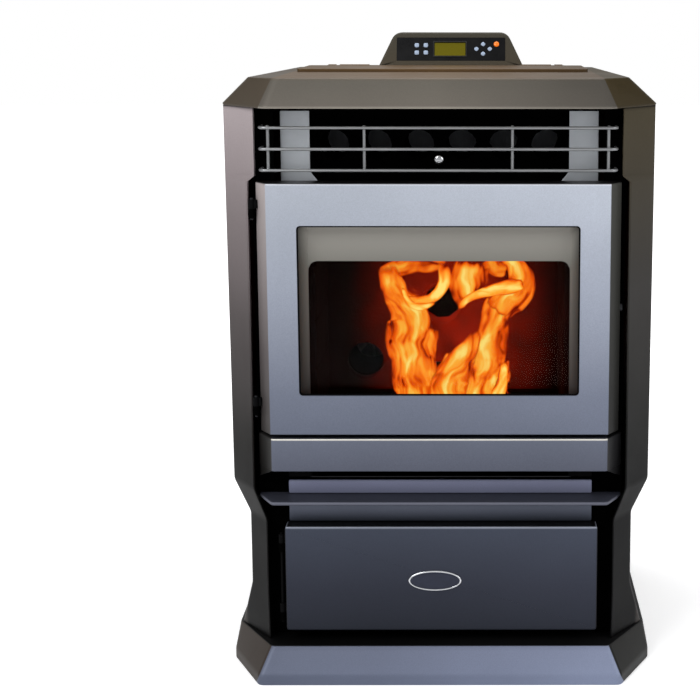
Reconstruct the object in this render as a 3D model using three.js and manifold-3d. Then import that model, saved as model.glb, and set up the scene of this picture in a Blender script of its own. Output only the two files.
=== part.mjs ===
// Pellet stove on a pedestal base: bevelled cabinet, window door, ash drawer, pedestal door,
// hopper with auger, exhaust fan and room fan. Millimetres, +Z up, the front faces -Y.
// The origin is the middle of the bounding box's bottom face.
import * as THREE from "three";
import { mergeVertices } from "three/addons/utils/BufferGeometryUtils.js";
import Module from "manifold-3d";

const wasm = await Module();
wasm.setup();

// ---------------------------------------------------------------- clearances and sheet
const GAP = 0.3; // between faces that touch on the real stove
const RUNNING = 0.4; // round a pin, rod or shaft that turns or slides
const SHEET = 2; // side panels, rear panel, hopper
const PLATE = 3; // front frame, deck, lid, base
const PIN_R = 2; // door hinge pins

// ---------------------------------------------------------------- overall sizes
const WIDTH = 562; // across the lid
const DEPTH = 560; // base nose to the end of the flue stub
const FLUE_REACH = 45; // flue stub behind the rear panel
const BASE_H = 47;
const CABINET_H = 704;
const LID_H = 37;
const CONSOLE_H = 52;

// heights
const CABINET_Z = BASE_H;
const LID_Z = CABINET_Z + CABINET_H;
const TOP_Z = LID_Z + LID_H;
const CONSOLE_TOP_Z = TOP_Z + CONSOLE_H;

// depths, from the front
const BASE_NOSE = 25; // base reaches this far in front of the door
const FACE_Y = -DEPTH / 2 + BASE_NOSE; // front plane of the door and the ash drawer
const BACK_Y = DEPTH / 2 - FLUE_REACH; // outside of the rear panel
const POST_SETBACK = 20; // front edge of the side panels behind the door face
const POST_Y = FACE_Y + POST_SETBACK;
const FRAME_SETBACK = 45; // front frame behind the door face
const FRAME_Y = FACE_Y + FRAME_SETBACK;
const FRAME_BACK_Y = FRAME_Y + PLATE;
const REAR_PANEL_Y = BACK_Y - SHEET;

// half widths of the body, from the lid down
const LID_HALF_W = WIDTH / 2;
const LID_OVERHANG = 1; // lid beyond the side panels
const SIDE_TOP = LID_HALF_W - LID_OVERHANG;
const BODY_TAPER = 2; // body narrower than its top
const SIDE_BODY = SIDE_TOP - BODY_TAPER;
const WAIST_IN = 23; // pedestal narrower than the body
const SIDE_WAIST = SIDE_BODY - WAIST_IN;
const PEDESTAL_FLARE = 17; // spread at the pedestal's foot
const SIDE_FLARE = SIDE_WAIST + PEDESTAL_FLARE;
const BASE_LEDGE = 4; // the base shows this far outside the panels
const BASE_TOP_HALF_W = SIDE_FLARE + BASE_LEDGE;
const BASE_SKIRT = 6; // spread of the base's sloped skirt
const BASE_FOOT_HALF_W = BASE_TOP_HALF_W + BASE_SKIRT;

// ---------------------------------------------------------------- base plinth
const BASE_FOOT_CORNER_W = 45; // width of the corner bevel at the floor
const BASE_FOOT_NOSE_HALF_W = BASE_FOOT_HALF_W - BASE_FOOT_CORNER_W;
const BASE_FOOT_BEVEL = 100; // depth of the corner bevel at the floor
const BASE_TOP_CORNER_W = 54;
const BASE_TOP_NOSE_HALF_W = BASE_TOP_HALF_W - BASE_TOP_CORNER_W;
const BASE_TOP_NOSE = 5; // front top edge in front of the door face
const BASE_TOP_BEVEL = 97;
const BASE_RIM_H = 13; // upright rim under the sloped skirt

// ---------------------------------------------------------------- side panels
// Each row: height above the floor, inner front edge, outer corner, depth of the front bevel.
const WAIST_BOTTOM = 65; // above the base: where the flare starts
const WAIST_TOP = 164; // above the base: where the body widens again
const BODY_FLARE = 42; // height of the widening under the body
const NOTCH_BELOW_LID = 94; // above it the inner edge steps in beside the air outlet
const NOTCH_RISE = 7;
const POST_WAIST_W = 28; // from the inner front edge to the outer corner
const POST_BODY_W = 35;
const POST_OUTLET_W = 46;
const POST_INNER_WAIST = SIDE_WAIST - POST_WAIST_W;
const POST_INNER_BODY = SIDE_BODY - POST_BODY_W;
const POST_INNER_OUTLET = SIDE_TOP - POST_OUTLET_W;
const BEVEL_FLARE = 68;
const BEVEL_WAIST = 42;
const BEVEL_BODY = 55;
const POST_RETURN = 12; // flange behind the inner edge
const REAR_FLANGE = 14;

// ---------------------------------------------------------------- front frame
const FRAME_POST_GAP = 3;
const FRAME_HALF_W = POST_INNER_BODY - FRAME_POST_GAP;
const FIREBOX_MOUTH_Z = 348.5;
const FIREBOX_MOUTH_H = 285.5;
const OUTLET_POST_LAP = 22; // frame beside the air outlet
const OUTLET_HALF_W = POST_INNER_OUTLET - OUTLET_POST_LAP;
const OUTLET_H = 92;
const OUTLET_BELOW_LID = 6;
const CUPBOARD_MOUTH_MARGIN = 12; // frame overlap behind the pedestal door
const DECK_Z = 262; // underside of the stove deck
const DECK_TOP_Z = DECK_Z + PLATE;

// ---------------------------------------------------------------- lid
const LID_NOSE = 15; // bottom front edge in front of the door face
const LID_CORNER_W = 63; // width of the lid's corner bevel
const LID_NOSE_HALF_W = LID_HALF_W - LID_CORNER_W;
const LID_BEVEL = 90;
const LID_TOP_SETBACK = 5; // top front edge behind the door face
const LID_NOSE_SLOPE = 13;
const LID_TOP_NOSE_HALF_W = LID_NOSE_HALF_W - LID_NOSE_SLOPE;
const LID_SIDE_SLOPE = 39;
const LID_TOP_HALF_W = LID_HALF_W - LID_SIDE_SLOPE;
const LID_TOP_BEVEL = 30;
const LID_TOP_TAPER = 20; // top face narrower on each side at the back
const LID_REAR_SLOPE = 18;
const LID_FLANGE = 58; // width of the flat flange under the sides and the nose

// ---------------------------------------------------------------- hopper
const HOPPER_EDGE = 52; // hopper wall to the edge of the lid's top face
const HOPPER_HALF_W = LID_TOP_HALF_W - HOPPER_EDGE;
const HOPPER_REACH = 240; // from the inside of its front wall to the cabinet's back
const HOPPER_Y = BACK_Y - HOPPER_REACH;
const HOPPER_D = 148;
const HOPPER_SHAFT_H = 150; // straight part above the funnel
const GASKET_T = 1.6;
const GASKET_W = 8;
const HATCH_OVERLAP = 12; // hopper lid beyond the opening
const HATCH_T = 2.2;
const HATCH_PIN_R = 1.5;
const HATCH_KNUCKLE_R = 2.6;
const HATCH_PIN_INSET = 14;
const HATCH_PIN_HALF = HOPPER_HALF_W - HATCH_PIN_INSET;
const HATCH_EAR_INSET = 55; // middle of each knuckle
const HATCH_EAR_X = HOPPER_HALF_W - HATCH_EAR_INSET;
const HATCH_EAR_W = 44;
const BRACKET_W = 12;

// ---------------------------------------------------------------- console
const CONSOLE_X = 8;
const CONSOLE_FOOT_HALF_W = 109;
const CONSOLE_TOP_HALF_W = 84;
const CONSOLE_FOOT_D = 46;
const CONSOLE_LEAN = 20; // top edge behind the bottom edge of the front
const CONSOLE_TOP_D = 24;
const CONSOLE_REACH = 65; // front of the console to the cabinet's back
const CONSOLE_Y = BACK_Y - CONSOLE_REACH;
const FASCIA_W = 162;
const FASCIA_H = 36;
const FASCIA_T = 2;
const POCKET_D = 12; // behind the fascia
const POCKET_RIM = 5;
const SCREEN_W = 46;
const SCREEN_H = 20;
const SCREEN_X = -1.5;
const KEY_R = 2.6;
const KEY_PROUD = 0.8;
const KEY_TRAVEL = 0.6;
const BOARD_T = 1.6;
const KEY_GRID_X = -44.5;
const KEY_GRID_PITCH_X = 13.5;
const KEY_GRID_PITCH_Y = 11.5;
const PAD_X = 48;
const PAD_REACH_X = 10;
const PAD_REACH_Y = 7.5;
const LAMP_X = 68;
const LAMP_Y = 8;
const LAMP_R = 4;

// ---------------------------------------------------------------- air outlet
const ROD_R = 2;
const ROD_SETBACK = 12; // behind the door face
const ROD_OVERLAP = 14; // rod ends beside the air outlet
const ROD_HALF_W = OUTLET_HALF_W + ROD_OVERLAP;
const ROD_PITCH = 26.85;
const ROD_TOP_BELOW_LID = 25.3;
const UPRIGHT_INSET = 11;
const UPRIGHT_OUTER_X = ROD_HALF_W - UPRIGHT_INSET;
const UPRIGHT_INNER_X = 93.5;
const VANE_SETBACK = 70;
const VANE_Y = FACE_Y + VANE_SETBACK;
const VANE_INSET = 44; // inner edge of the vane to the edge of the air outlet
const VANE_INNER_X = OUTLET_HALF_W - VANE_INSET;
const VANE_W = 38;
const VANE_FOOT = 20;
const VANE_FOOT_H = 25;
const TUBE_WALL = 2;
const TUBE_EDGE = 38; // middle of the last tube to the edge of the plate
const TUBE_COUNT = 6;
const TUBE_Z = LID_Z - 54;
const EXCHANGER_SETBACK = 112;
const EXCHANGER_Y = FACE_Y + EXCHANGER_SETBACK;
const EXCHANGER_REAR_CLEAR = 14; // tube ends in front of the hopper
const EXCHANGER_INSET = 7; // plate narrower than the firebox
const SCRAPER_Z = LID_Z - 67.5;
const SCRAPER_R = 3;
const SCRAPER_KNOB_R = 7;
const SCRAPER_SETBACK = 36;
const SCRAPER_KNOB_Y = FACE_Y + SCRAPER_SETBACK;
const SCRAPER_PLATE_INSET = 31; // scraper plate in front of the tube ends
const SCRAPER_CLEAR = 1.5;

// ---------------------------------------------------------------- door
const DOOR_Z = 331;
const DOOR_H = 325.5;
const DOOR_POST_GAP = 10;
const DOOR_HALF_W = POST_INNER_BODY - DOOR_POST_GAP;
const DOOR_BEVEL_W = 15;
const DOOR_FACE_HALF_W = DOOR_HALF_W - DOOR_BEVEL_W;
const DOOR_BEVEL = 25;
const DOOR_D = 40;
const DOOR_STILE = 53;
const WINDOW_HALF_W = DOOR_HALF_W - DOOR_STILE;
const FIREBOX_MOUTH_HALF_W = WINDOW_HALF_W;
const WINDOW_Z = 383;
const WINDOW_H = 220;
const REVEAL_D = 19; // from the back of the door face to the inner panel
const REVEAL_IN = 12;
const REVEAL_T = 3;
const GLASS_HALF_W = WINDOW_HALF_W - REVEAL_IN; // visible opening
const GLASS_TOP_BAND = 48;
const GLASS_BELOW = 8;
const GLASS_CORNER_R = 12;
const GLASS_T = 5;
const GLASS_LAP = 9;
const SEAL_W = 12;
const SEAL_HALF_W = FIREBOX_MOUTH_HALF_W + 2 * SEAL_W;
const HINGE_OUT = 5; // hinge pins outside the doors' edges
const DOOR_HINGE_X = -DOOR_HALF_W - HINGE_OUT;
const DOOR_HINGE_SETBACK = 20;
const DOOR_KNUCKLE_R = 4;
const KNUCKLE_H = 12;
const DOOR_HINGE_INSET = 34; // from the door's top and bottom edges
const LATCH_INSET = 18;
const LATCH_X = DOOR_HALF_W - LATCH_INSET;
const LATCH_SHAFT_R = 5;
const LATCH_T = 6;
const LATCH_ARM = 26;
const LATCH_HOOK = 14;
const LATCH_SETBACK = 30;

// ---------------------------------------------------------------- ash drawer and shelf
const DRAWER_FACE_Z = 282.5;
const DRAWER_FACE_H = 43.5;
const DRAWER_POST_GAP = 5;
const DRAWER_WING_HALF_W = POST_INNER_BODY - DRAWER_POST_GAP;
const DRAWER_BEVEL_W = 21;
const DRAWER_FACE_HALF_W = DRAWER_WING_HALF_W - DRAWER_BEVEL_W;
const DRAWER_WING_DROP = 15; // at the back of each wing, none at its front
const DRAWER_WING_D = 37;
const TRAY_D = 188;
const TRAY_H = 50;
const TRAY_MARGIN = 6; // frame opening beyond the tray
const TRAY_HALF_W = FIREBOX_MOUTH_HALF_W - TRAY_MARGIN;
const SHELF_Z = 238;
const SHELF_T = 5;
const SHELF_NOSE = 5;
const SHELF_POST_GAP = 4;
const SHELF_HALF_W = POST_INNER_BODY - SHELF_POST_GAP;
const SHELF_BEVEL_W = 21;
const SHELF_NOSE_HALF_W = SHELF_HALF_W - SHELF_BEVEL_W;
const SHELF_BEVEL = 43;

// ---------------------------------------------------------------- pedestal door
const CUPBOARD_X = 1.5;
const CUPBOARD_POST_GAP = 21.5;
const CUPBOARD_HALF_W = POST_INNER_WAIST - CUPBOARD_POST_GAP;
const CUPBOARD_Z = 61.5;
const CUPBOARD_H = 143;
const CUPBOARD_SETBACK = 12;
const CUPBOARD_D = 25;
const CUPBOARD_HINGE_X = CUPBOARD_X - CUPBOARD_HALF_W - HINGE_OUT;
const CUPBOARD_HINGE_SETBACK = 20;
const BADGE_HALF_W = 35;
const BADGE_HALF_H = 14;
const BADGE_T = 2;
const BADGE_X = -7;
const BADGE_BELOW_MIDDLE = 2;

// ---------------------------------------------------------------- firebox
const FIREBOX_LIP = 5; // firebox wider than its mouth
const FIREBOX_HALF_W = FIREBOX_MOUTH_HALF_W + FIREBOX_LIP;
const EXCHANGER_HALF_W = FIREBOX_HALF_W - EXCHANGER_INSET;
const TUBE_PITCH = 2 * (EXCHANGER_HALF_W - TUBE_EDGE) / (TUBE_COUNT - 1);
const TUBE_SPACING = 12; // clear sheet between two tubes
const TUBE_R = (TUBE_PITCH - TUBE_SPACING) / 2;
const FIREBOX_WALL = 4;
const FIREBOX_Z = 340;
const FIREBOX_H = 300;
const FIREBOX_REAR_CLEAR = 7.7; // air between the firebox and the hopper
const BRICK_T = 20;
const BRICK_H = 256;
const BAFFLE_T = 4;
const BAFFLE_FRONT = 27; // smoke gap in front of the baffle
const POT_HALF_W = 45;
const POT_D = 78;
const POT_H = 41;
const POT_WALL = 4;
const IGNITER_R = 5;
const IGNITER_X = -25;
const IGNITER_Z = 366;
const IGNITER_L = 120;

// ---------------------------------------------------------------- auger feed
const AUGER_Z = 470;
const FEED_R = 30;
const FEED_WALL = 3;
const AUGER_REAR_CLEAR = 9.7; // gear motor in front of the rear panel
const FEED_OVERHANG = 24; // tube end in front of the back brick
const AUGER_SHAFT_R = 5;
const AUGER_FLIGHT_CLEAR = 2;
const AUGER_PITCH = 40;
const AUGER_FLIGHT_T = 3;
const COLLAR_HALF_W = 32;
const COLLAR_H = 6; // above the tube
const AUGER_MOTOR_W = 58;
const AUGER_MOTOR_L = 46;

// ---------------------------------------------------------------- fans, flue and air inlet
const EXHAUST_X = -110;
const EXHAUST_Z = 385;
const EXHAUST_R = 62;
const EXHAUST_W = 60;
const EXHAUST_REACH = 130; // front of the fan housing to the cabinet's back
const EXHAUST_Y = BACK_Y - EXHAUST_REACH;
const EXHAUST_DUCT_R = 26;
const EXHAUST_OUT_H = 116; // outlet box below the fan's middle
const EXHAUST_OUT_W = 86;
const FLUE_X = -129;
const FLUE_Z = 312;
const FLUE_R = 38;
const FLUE_FLANGE_R = 50;
const EXHAUST_MOTOR_R = 32;
const MOTOR_L = 48;
const FAN_SHAFT_R = 4;
const FAN_SHAFT_L = 20; // behind the wheel's disc
const FAN_HUB_R = 9;
const FAN_DISC_CLEAR = 3; // disc to the housing wall
const FAN_RIM_CLEAR = 6;
const FAN_BLADES = 8;
const FAN_BLADE_T = 1.5;
const ROOM_FAN_X = 62;
const ROOM_FAN_W = 90;
const ROOM_FAN_REACH = 100; // fan axis to the cabinet's back
const ROOM_FAN_Y = BACK_Y - ROOM_FAN_REACH;
const ROOM_FAN_Z = 350;
const ROOM_FAN_R = 56;
const ROOM_FAN_FOOT_HALF_D = 20;
const ROOM_FAN_INLET_R = 34;
const ROOM_FAN_OUT_L = 90;
const ROOM_FAN_OUT_H = 50;
const ROOM_MOTOR_R = 30;
const AIR_X = 16;
const AIR_Z = 365;
const AIR_R = 22;
const AIR_REACH = 20;
const INLET_EDGE = 55; // middle of the power inlet to the edge of the rear panel
const INLET_X = SIDE_WAIST - INLET_EDGE;
const INLET_Z = 130;
const INLET_W = 48;
const INLET_H = 28;

// ---------------------------------------------------------------- finishes
const finish = (color, roughness, metalness) =>
  new THREE.MeshStandardMaterial({ color, roughness, metalness });
const PAINT = finish(0x4b4e55, 0.45, 0.4); // charcoal metallic paint
const LID_PAINT = finish(0x6a655c, 0.45, 0.4);
const DOOR_PAINT = finish(0x83888f, 0.4, 0.5);
const BLACK_STEEL = finish(0x141414, 0.7, 0.3);
const STEEL = finish(0x9b9b98, 0.35, 0.9);
const CAST_IRON = finish(0x24211f, 0.85, 0.3);
const BRICK = finish(0x5a2a1c, 0.95, 0);
const GLASS = finish(0x1b1b1b, 0.05, 0);
const ROPE = finish(0x3a3a38, 1, 0);
const PLASTIC = finish(0x0e0f12, 0.35, 0);
const SCREEN = finish(0x746e00, 0.25, 0);
const KEY = finish(0xb8c4d4, 0.4, 0);
const LAMP = finish(0xe08010, 0.3, 0);
const BOARD = finish(0x1d4a2a, 0.6, 0);
const ALUMINIUM = finish(0xa9abad, 0.4, 0.9);
const CHROME = finish(0xd8d8d8, 0.12, 1);

// ---------------------------------------------------------------- geometry helpers
const stove = new THREE.Group();

// Adds a named mesh to the stove, or to a group inside it.
function piece(name, geometry, material, parent = stove) {
  const mesh = new THREE.Mesh(geometry, material);
  mesh.name = name;
  parent.add(mesh);
  return mesh;
}

// Box between two corners.
function box(x0, x1, y0, y1, z0, z1) {
  const g = new THREE.BoxGeometry(x1 - x0, y1 - y0, z1 - z0);
  return g.translate((x0 + x1) / 2, (y0 + y1) / 2, (z0 + z1) / 2);
}

// Box that is centred on X = x.
const slab = (x, halfW, y0, y1, z0, z1) => box(x - halfW, x + halfW, y0, y1, z0, z1);

// Round bars along each axis, from a start coordinate to an end coordinate.
function barX(x0, x1, y, z, r, sides = 12) {
  const g = new THREE.CylinderGeometry(r, r, x1 - x0, sides);
  return g.rotateZ(Math.PI / 2).translate((x0 + x1) / 2, y, z);
}
function barY(y0, y1, x, z, r, sides = 12) {
  return new THREE.CylinderGeometry(r, r, y1 - y0, sides).translate(x, (y0 + y1) / 2, z);
}
function barZ(z0, z1, x, y, r, sides = 12) {
  const g = new THREE.CylinderGeometry(r, r, z1 - z0, sides);
  return g.rotateX(Math.PI / 2).translate(x, y, (z0 + z1) / 2);
}

// Closed shape outline from [x, y] pairs.
const outline = (pairs) => new THREE.Shape(pairs.map(([x, y]) => new THREE.Vector2(x, y)));

// Outline in plan, raised from z0 to z1.
function prismZ(pairs, z0, z1) {
  const g = new THREE.ExtrudeGeometry(outline(pairs), { depth: z1 - z0, bevelEnabled: false });
  return g.translate(0, 0, z0);
}

// Outline of [x, z] pairs in front view, carried from y0 back to y1.
function prismY(shape, y0, y1) {
  const g = new THREE.ExtrudeGeometry(shape, {
    depth: y1 - y0,
    bevelEnabled: false,
    curveSegments: 6,
  });
  return g.rotateX(Math.PI / 2).translate(0, y1, 0);
}

// Outline of [y, z] pairs in side view, carried across from x0 to x1.
function prismX(pairs, x0, x1) {
  const g = new THREE.ExtrudeGeometry(outline(pairs), { depth: x1 - x0, bevelEnabled: false });
  return g.rotateX(Math.PI / 2).rotateZ(Math.PI / 2).translate(x0, 0, 0);
}

// Plan outlines with the same number of points at rising heights, closed by a cap at each end.
function loft(sections) {
  const first = sections[0].points;
  const turn = THREE.ShapeUtils.isClockWise(first.map(([x, y]) => new THREE.Vector2(x, y)));
  const rings = sections.map(({ z, points }) =>
    (turn ? [...points].reverse() : points).map(([x, y]) => [x, y, z]));
  const n = first.length;
  const index = [];
  for (let level = 0; level + 1 < rings.length; level++) {
    for (let i = 0; i < n; i++) {
      const a = level * n + i;
      const b = level * n + (i + 1) % n;
      index.push(a, b, b + n, a, b + n, a + n);
    }
  }
  const cap = (ring) => THREE.ShapeUtils.triangulateShape(
    ring.map(([x, y]) => new THREE.Vector2(x, y)), []);
  for (const [a, b, c] of cap(rings[0])) index.push(c, b, a);
  const top = (rings.length - 1) * n;
  for (const [a, b, c] of cap(rings[rings.length - 1])) index.push(top + a, top + b, top + c);
  const g = new THREE.BufferGeometry();
  g.setAttribute("position", new THREE.Float32BufferAttribute(rings.flat(2), 3));
  return g.setIndex(index);
}

// Bent sheet: an open line of [x, y] points and the same line offset by t to its left.
function sheetSection(line, t) {
  const normals = [];
  for (let i = 0; i + 1 < line.length; i++) {
    const dx = line[i + 1][0] - line[i][0];
    const dy = line[i + 1][1] - line[i][1];
    const l = Math.hypot(dx, dy);
    normals.push([-dy / l, dx / l]);
  }
  const inner = line.map(([x, y], i) => {
    const a = normals[Math.max(i - 1, 0)];
    const b = normals[Math.min(i, normals.length - 1)];
    const s = t / (1 + a[0] * b[0] + a[1] * b[1]);
    return [x + (a[0] + b[0]) * s, y + (a[1] + b[1]) * s];
  });
  return [...line, ...inner.reverse()];
}

// manifold-3d solid of a closed geometry, and back.
function solid(geometry) {
  if (geometry instanceof wasm.Manifold) return geometry;
  const g = (geometry.index ? geometry.toNonIndexed() : geometry.clone());
  g.deleteAttribute("normal");
  g.deleteAttribute("uv");
  const m = mergeVertices(g, 1e-4);
  return new wasm.Manifold(new wasm.Mesh({
    numProp: 3,
    vertProperties: m.attributes.position.array,
    triVerts: new Uint32Array(m.index.array),
  }));
}
function surface(manifold) {
  const m = manifold.getMesh();
  const g = new THREE.BufferGeometry();
  const points = new Float32Array(m.numVert * 3);
  for (let i = 0; i < m.numVert; i++) {
    points.set(m.vertProperties.subarray(i * m.numProp, i * m.numProp + 3), i * 3);
  }
  g.setAttribute("position", new THREE.BufferAttribute(points, 3));
  return g.setIndex(new THREE.BufferAttribute(new Uint32Array(m.triVerts), 1));
}
const join = (...shapes) => surface(shapes.map(solid).reduce((a, b) => a.add(b)));
const cut = (shape, ...tools) =>
  surface(tools.map(solid).reduce((a, b) => a.subtract(b), solid(shape)));

// Mirrors [x, y] pairs to the other side of X = 0.
const mirrored = (pairs) => pairs.map(([x, y]) => [-x, y]);

// Half outline (from the middle of the front round the right side) and its mirror image.
const bothSides = (half) => [...half, ...mirrored(half).reverse()];

// Value between two ends.
const mix = (a, b, t) => a + (b - a) * t;

// ---------------------------------------------------------------- base plinth
function basePlinth() {
  const plan = (noseHalfW, halfW, nose, bevel, inset) => bothSides([
    [noseHalfW - inset * 0.5, FACE_Y - nose + inset],
    [halfW - inset, FACE_Y - nose + bevel + inset * 0.5],
    [halfW - inset, BACK_Y - inset],
  ]);
  const foot = (z, inset) => ({
    z,
    points: plan(BASE_FOOT_NOSE_HALF_W, BASE_FOOT_HALF_W, BASE_NOSE, BASE_FOOT_BEVEL, inset),
  });
  const top = (z, inset) => ({
    z,
    points: plan(BASE_TOP_NOSE_HALF_W, BASE_TOP_HALF_W, BASE_TOP_NOSE, BASE_TOP_BEVEL, inset),
  });
  const outside = loft([foot(0, 0), foot(BASE_RIM_H, 0), top(BASE_H, 0)]);
  const hollow = loft([
    foot(PLATE, PLATE),
    foot(BASE_RIM_H, PLATE),
    top(BASE_H - PLATE, PLATE),
  ]);
  const mouth = box(-SIDE_WAIST + PLATE, SIDE_WAIST - PLATE, FRAME_BACK_Y + REAR_FLANGE,
    BACK_Y - REAR_FLANGE - PLATE, BASE_H - 2 * PLATE, BASE_H + PLATE);
  piece("base_plinth", cut(outside, hollow, mouth), PAINT);
}

// ---------------------------------------------------------------- side panels
const bodyZ = CABINET_Z + WAIST_TOP + BODY_FLARE;
const notchZ = LID_Z - NOTCH_BELOW_LID;
const panelTopZ = LID_Z - GAP;
const panelFootZ = CABINET_Z + GAP;
const sideLevels = [
  [panelFootZ, POST_INNER_WAIST - 1, SIDE_FLARE, BEVEL_FLARE],
  [CABINET_Z + WAIST_BOTTOM, POST_INNER_WAIST, SIDE_WAIST, BEVEL_WAIST],
  [CABINET_Z + WAIST_TOP, POST_INNER_WAIST, SIDE_WAIST, BEVEL_WAIST],
  [bodyZ, POST_INNER_BODY, SIDE_BODY, BEVEL_BODY],
  [notchZ, POST_INNER_BODY, mix(SIDE_BODY, SIDE_TOP, 0.8), BEVEL_BODY],
  [notchZ + NOTCH_RISE, POST_INNER_OUTLET, mix(SIDE_BODY, SIDE_TOP, 0.82), BEVEL_BODY],
  [panelTopZ, POST_INNER_OUTLET, SIDE_TOP, BEVEL_BODY],
];

// Outer half-width of the cabinet at a height.
function sideHalfWidth(z) {
  const i = Math.max(1, sideLevels.findIndex(([level]) => level >= z));
  const [z0, , x0] = sideLevels[i - 1];
  const [z1, , x1] = sideLevels[i];
  return mix(x0, x1, (z - z0) / (z1 - z0));
}

function sidePanels() {
  const panelBackY = REAR_PANEL_Y - GAP;
  const line = ([, inner, outer, bevel]) => [
    [inner, POST_Y + POST_RETURN],
    [inner, POST_Y],
    [outer, POST_Y + bevel],
    [outer, panelBackY],
    [outer - REAR_FLANGE, panelBackY],
  ];
  const sections = sideLevels.map((level) => ({
    z: level[0],
    points: sheetSection(line(level), SHEET),
  }));
  piece("right_side_panel", loft(sections), PAINT);
  const leftSections = sections.map(({ z, points }) => ({ z, points: mirrored(points) }));
  piece("left_side_panel", loft(leftSections), PAINT);
}

// ---------------------------------------------------------------- rear panel
function rearPanel() {
  const edge = sideLevels.map(([z, , outer]) => [outer, z]);
  const sheet = prismY(outline(bothSides(edge)), REAR_PANEL_Y, BACK_Y);
  const through = [REAR_PANEL_Y - PLATE, BACK_Y + PLATE];
  const holes = [
    barY(...through, FLUE_X, FLUE_Z, FLUE_R + 1, 24),
    barY(...through, AIR_X, AIR_Z, AIR_R + 1, 24),
    box(INLET_X - INLET_W / 2 - GAP, INLET_X + INLET_W / 2 + GAP, ...through,
      INLET_Z - INLET_H / 2 - GAP, INLET_Z + INLET_H / 2 + GAP),
  ];
  for (let row = 0; row < 6; row++) {
    const z = ROOM_FAN_Z - 50 + row * 20;
    holes.push(slab(ROOM_FAN_X + ROOM_FAN_W, ROOM_FAN_R, ...through, z, z + 7));
  }
  piece("rear_panel", cut(sheet, ...holes), PAINT);
}

// ---------------------------------------------------------------- front frame and deck
const doorMidZ = DOOR_Z + DOOR_H / 2;
const doorHingeY = FACE_Y + DOOR_HINGE_SETBACK;
const doorHingeHeights = [DOOR_Z + DOOR_HINGE_INSET, DOOR_Z + DOOR_H - DOOR_HINGE_INSET];
const cupboardHingeY = FACE_Y + CUPBOARD_HINGE_SETBACK;
const cupboardHingeHeights = [
  CUPBOARD_Z + CUPBOARD_MOUTH_MARGIN + KNUCKLE_H,
  CUPBOARD_Z + CUPBOARD_H - CUPBOARD_MOUTH_MARGIN - KNUCKLE_H,
];
const latchZ = doorMidZ;
const latchY = FACE_Y + LATCH_SETBACK;

// Leaf and eye that hold a hinge pin in front of the frame; the eye is under the door's own.
function frameHinge(x, y, z) {
  const leaf = box(x - PIN_R, x + PIN_R, y + 1, FRAME_Y + 1, z - KNUCKLE_H, z - GAP);
  return [leaf, barZ(z - KNUCKLE_H, z - GAP, x, y, DOOR_KNUCKLE_R)];
}

function frontFrame() {
  const plate = box(-FRAME_HALF_W, FRAME_HALF_W, FRAME_Y, FRAME_BACK_Y, panelFootZ, panelTopZ);
  const through = [FRAME_Y - PLATE, FRAME_BACK_Y + PLATE];
  const outletTopZ = LID_Z - OUTLET_BELOW_LID;
  const mouthMargin = CUPBOARD_MOUTH_MARGIN;
  const openings = [
    slab(0, FIREBOX_MOUTH_HALF_W, ...through, FIREBOX_MOUTH_Z,
      FIREBOX_MOUTH_Z + FIREBOX_MOUTH_H),
    slab(0, OUTLET_HALF_W, ...through, outletTopZ - OUTLET_H, outletTopZ),
    slab(0, TRAY_HALF_W + TRAY_MARGIN, ...through, DECK_TOP_Z,
      DECK_TOP_Z + TRAY_H + TRAY_MARGIN),
    slab(CUPBOARD_X, CUPBOARD_HALF_W - mouthMargin, ...through, CUPBOARD_Z + mouthMargin,
      CUPBOARD_Z + CUPBOARD_H - mouthMargin),
    slab(LATCH_X, LATCH_T / 2 + 2, ...through, latchZ - LATCH_ARM - LATCH_SHAFT_R,
      latchZ + LATCH_SHAFT_R + 1),
  ];
  const hinges = doorHingeHeights.flatMap((z) => frameHinge(DOOR_HINGE_X, doorHingeY, z));
  hinges.push(...cupboardHingeHeights.flatMap((z) =>
    frameHinge(CUPBOARD_HINGE_X, cupboardHingeY, z)));
  const pins = [
    ...doorHingeHeights.map((z) =>
      barZ(z - 2 * KNUCKLE_H, z + KNUCKLE_H, DOOR_HINGE_X, doorHingeY, PIN_R + RUNNING)),
    barZ(CUPBOARD_Z, CUPBOARD_Z + CUPBOARD_H, CUPBOARD_HINGE_X, cupboardHingeY,
      PIN_R + RUNNING),
  ];
  piece("front_frame", cut(join(cut(plate, ...openings), ...hinges), ...pins), BLACK_STEEL);
}

function stoveDeck() {
  const front = FRAME_BACK_Y + GAP;
  const back = REAR_PANEL_Y - GAP - SHEET - GAP;
  const halfW = sideHalfWidth(DECK_Z) - SHEET - 2;
  const plan = bothSides([
    [FRAME_HALF_W - 2, front],
    [halfW, front + BEVEL_BODY],
    [halfW, back],
  ]);
  piece("stove_deck", prismZ(plan, DECK_Z, DECK_TOP_Z), BLACK_STEEL);
}

// ---------------------------------------------------------------- lid
const hopperBackY = HOPPER_Y + HOPPER_D;
const hatchPinY = hopperBackY + HATCH_OVERLAP + HATCH_KNUCKLE_R + 3;
const hatchZ = TOP_Z + GAP + GASKET_T + GAP;
const hatchPinZ = TOP_Z + GAP + HATCH_KNUCKLE_R;
const bracketX = HATCH_PIN_HALF - 2 - BRACKET_W / 2;

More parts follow.
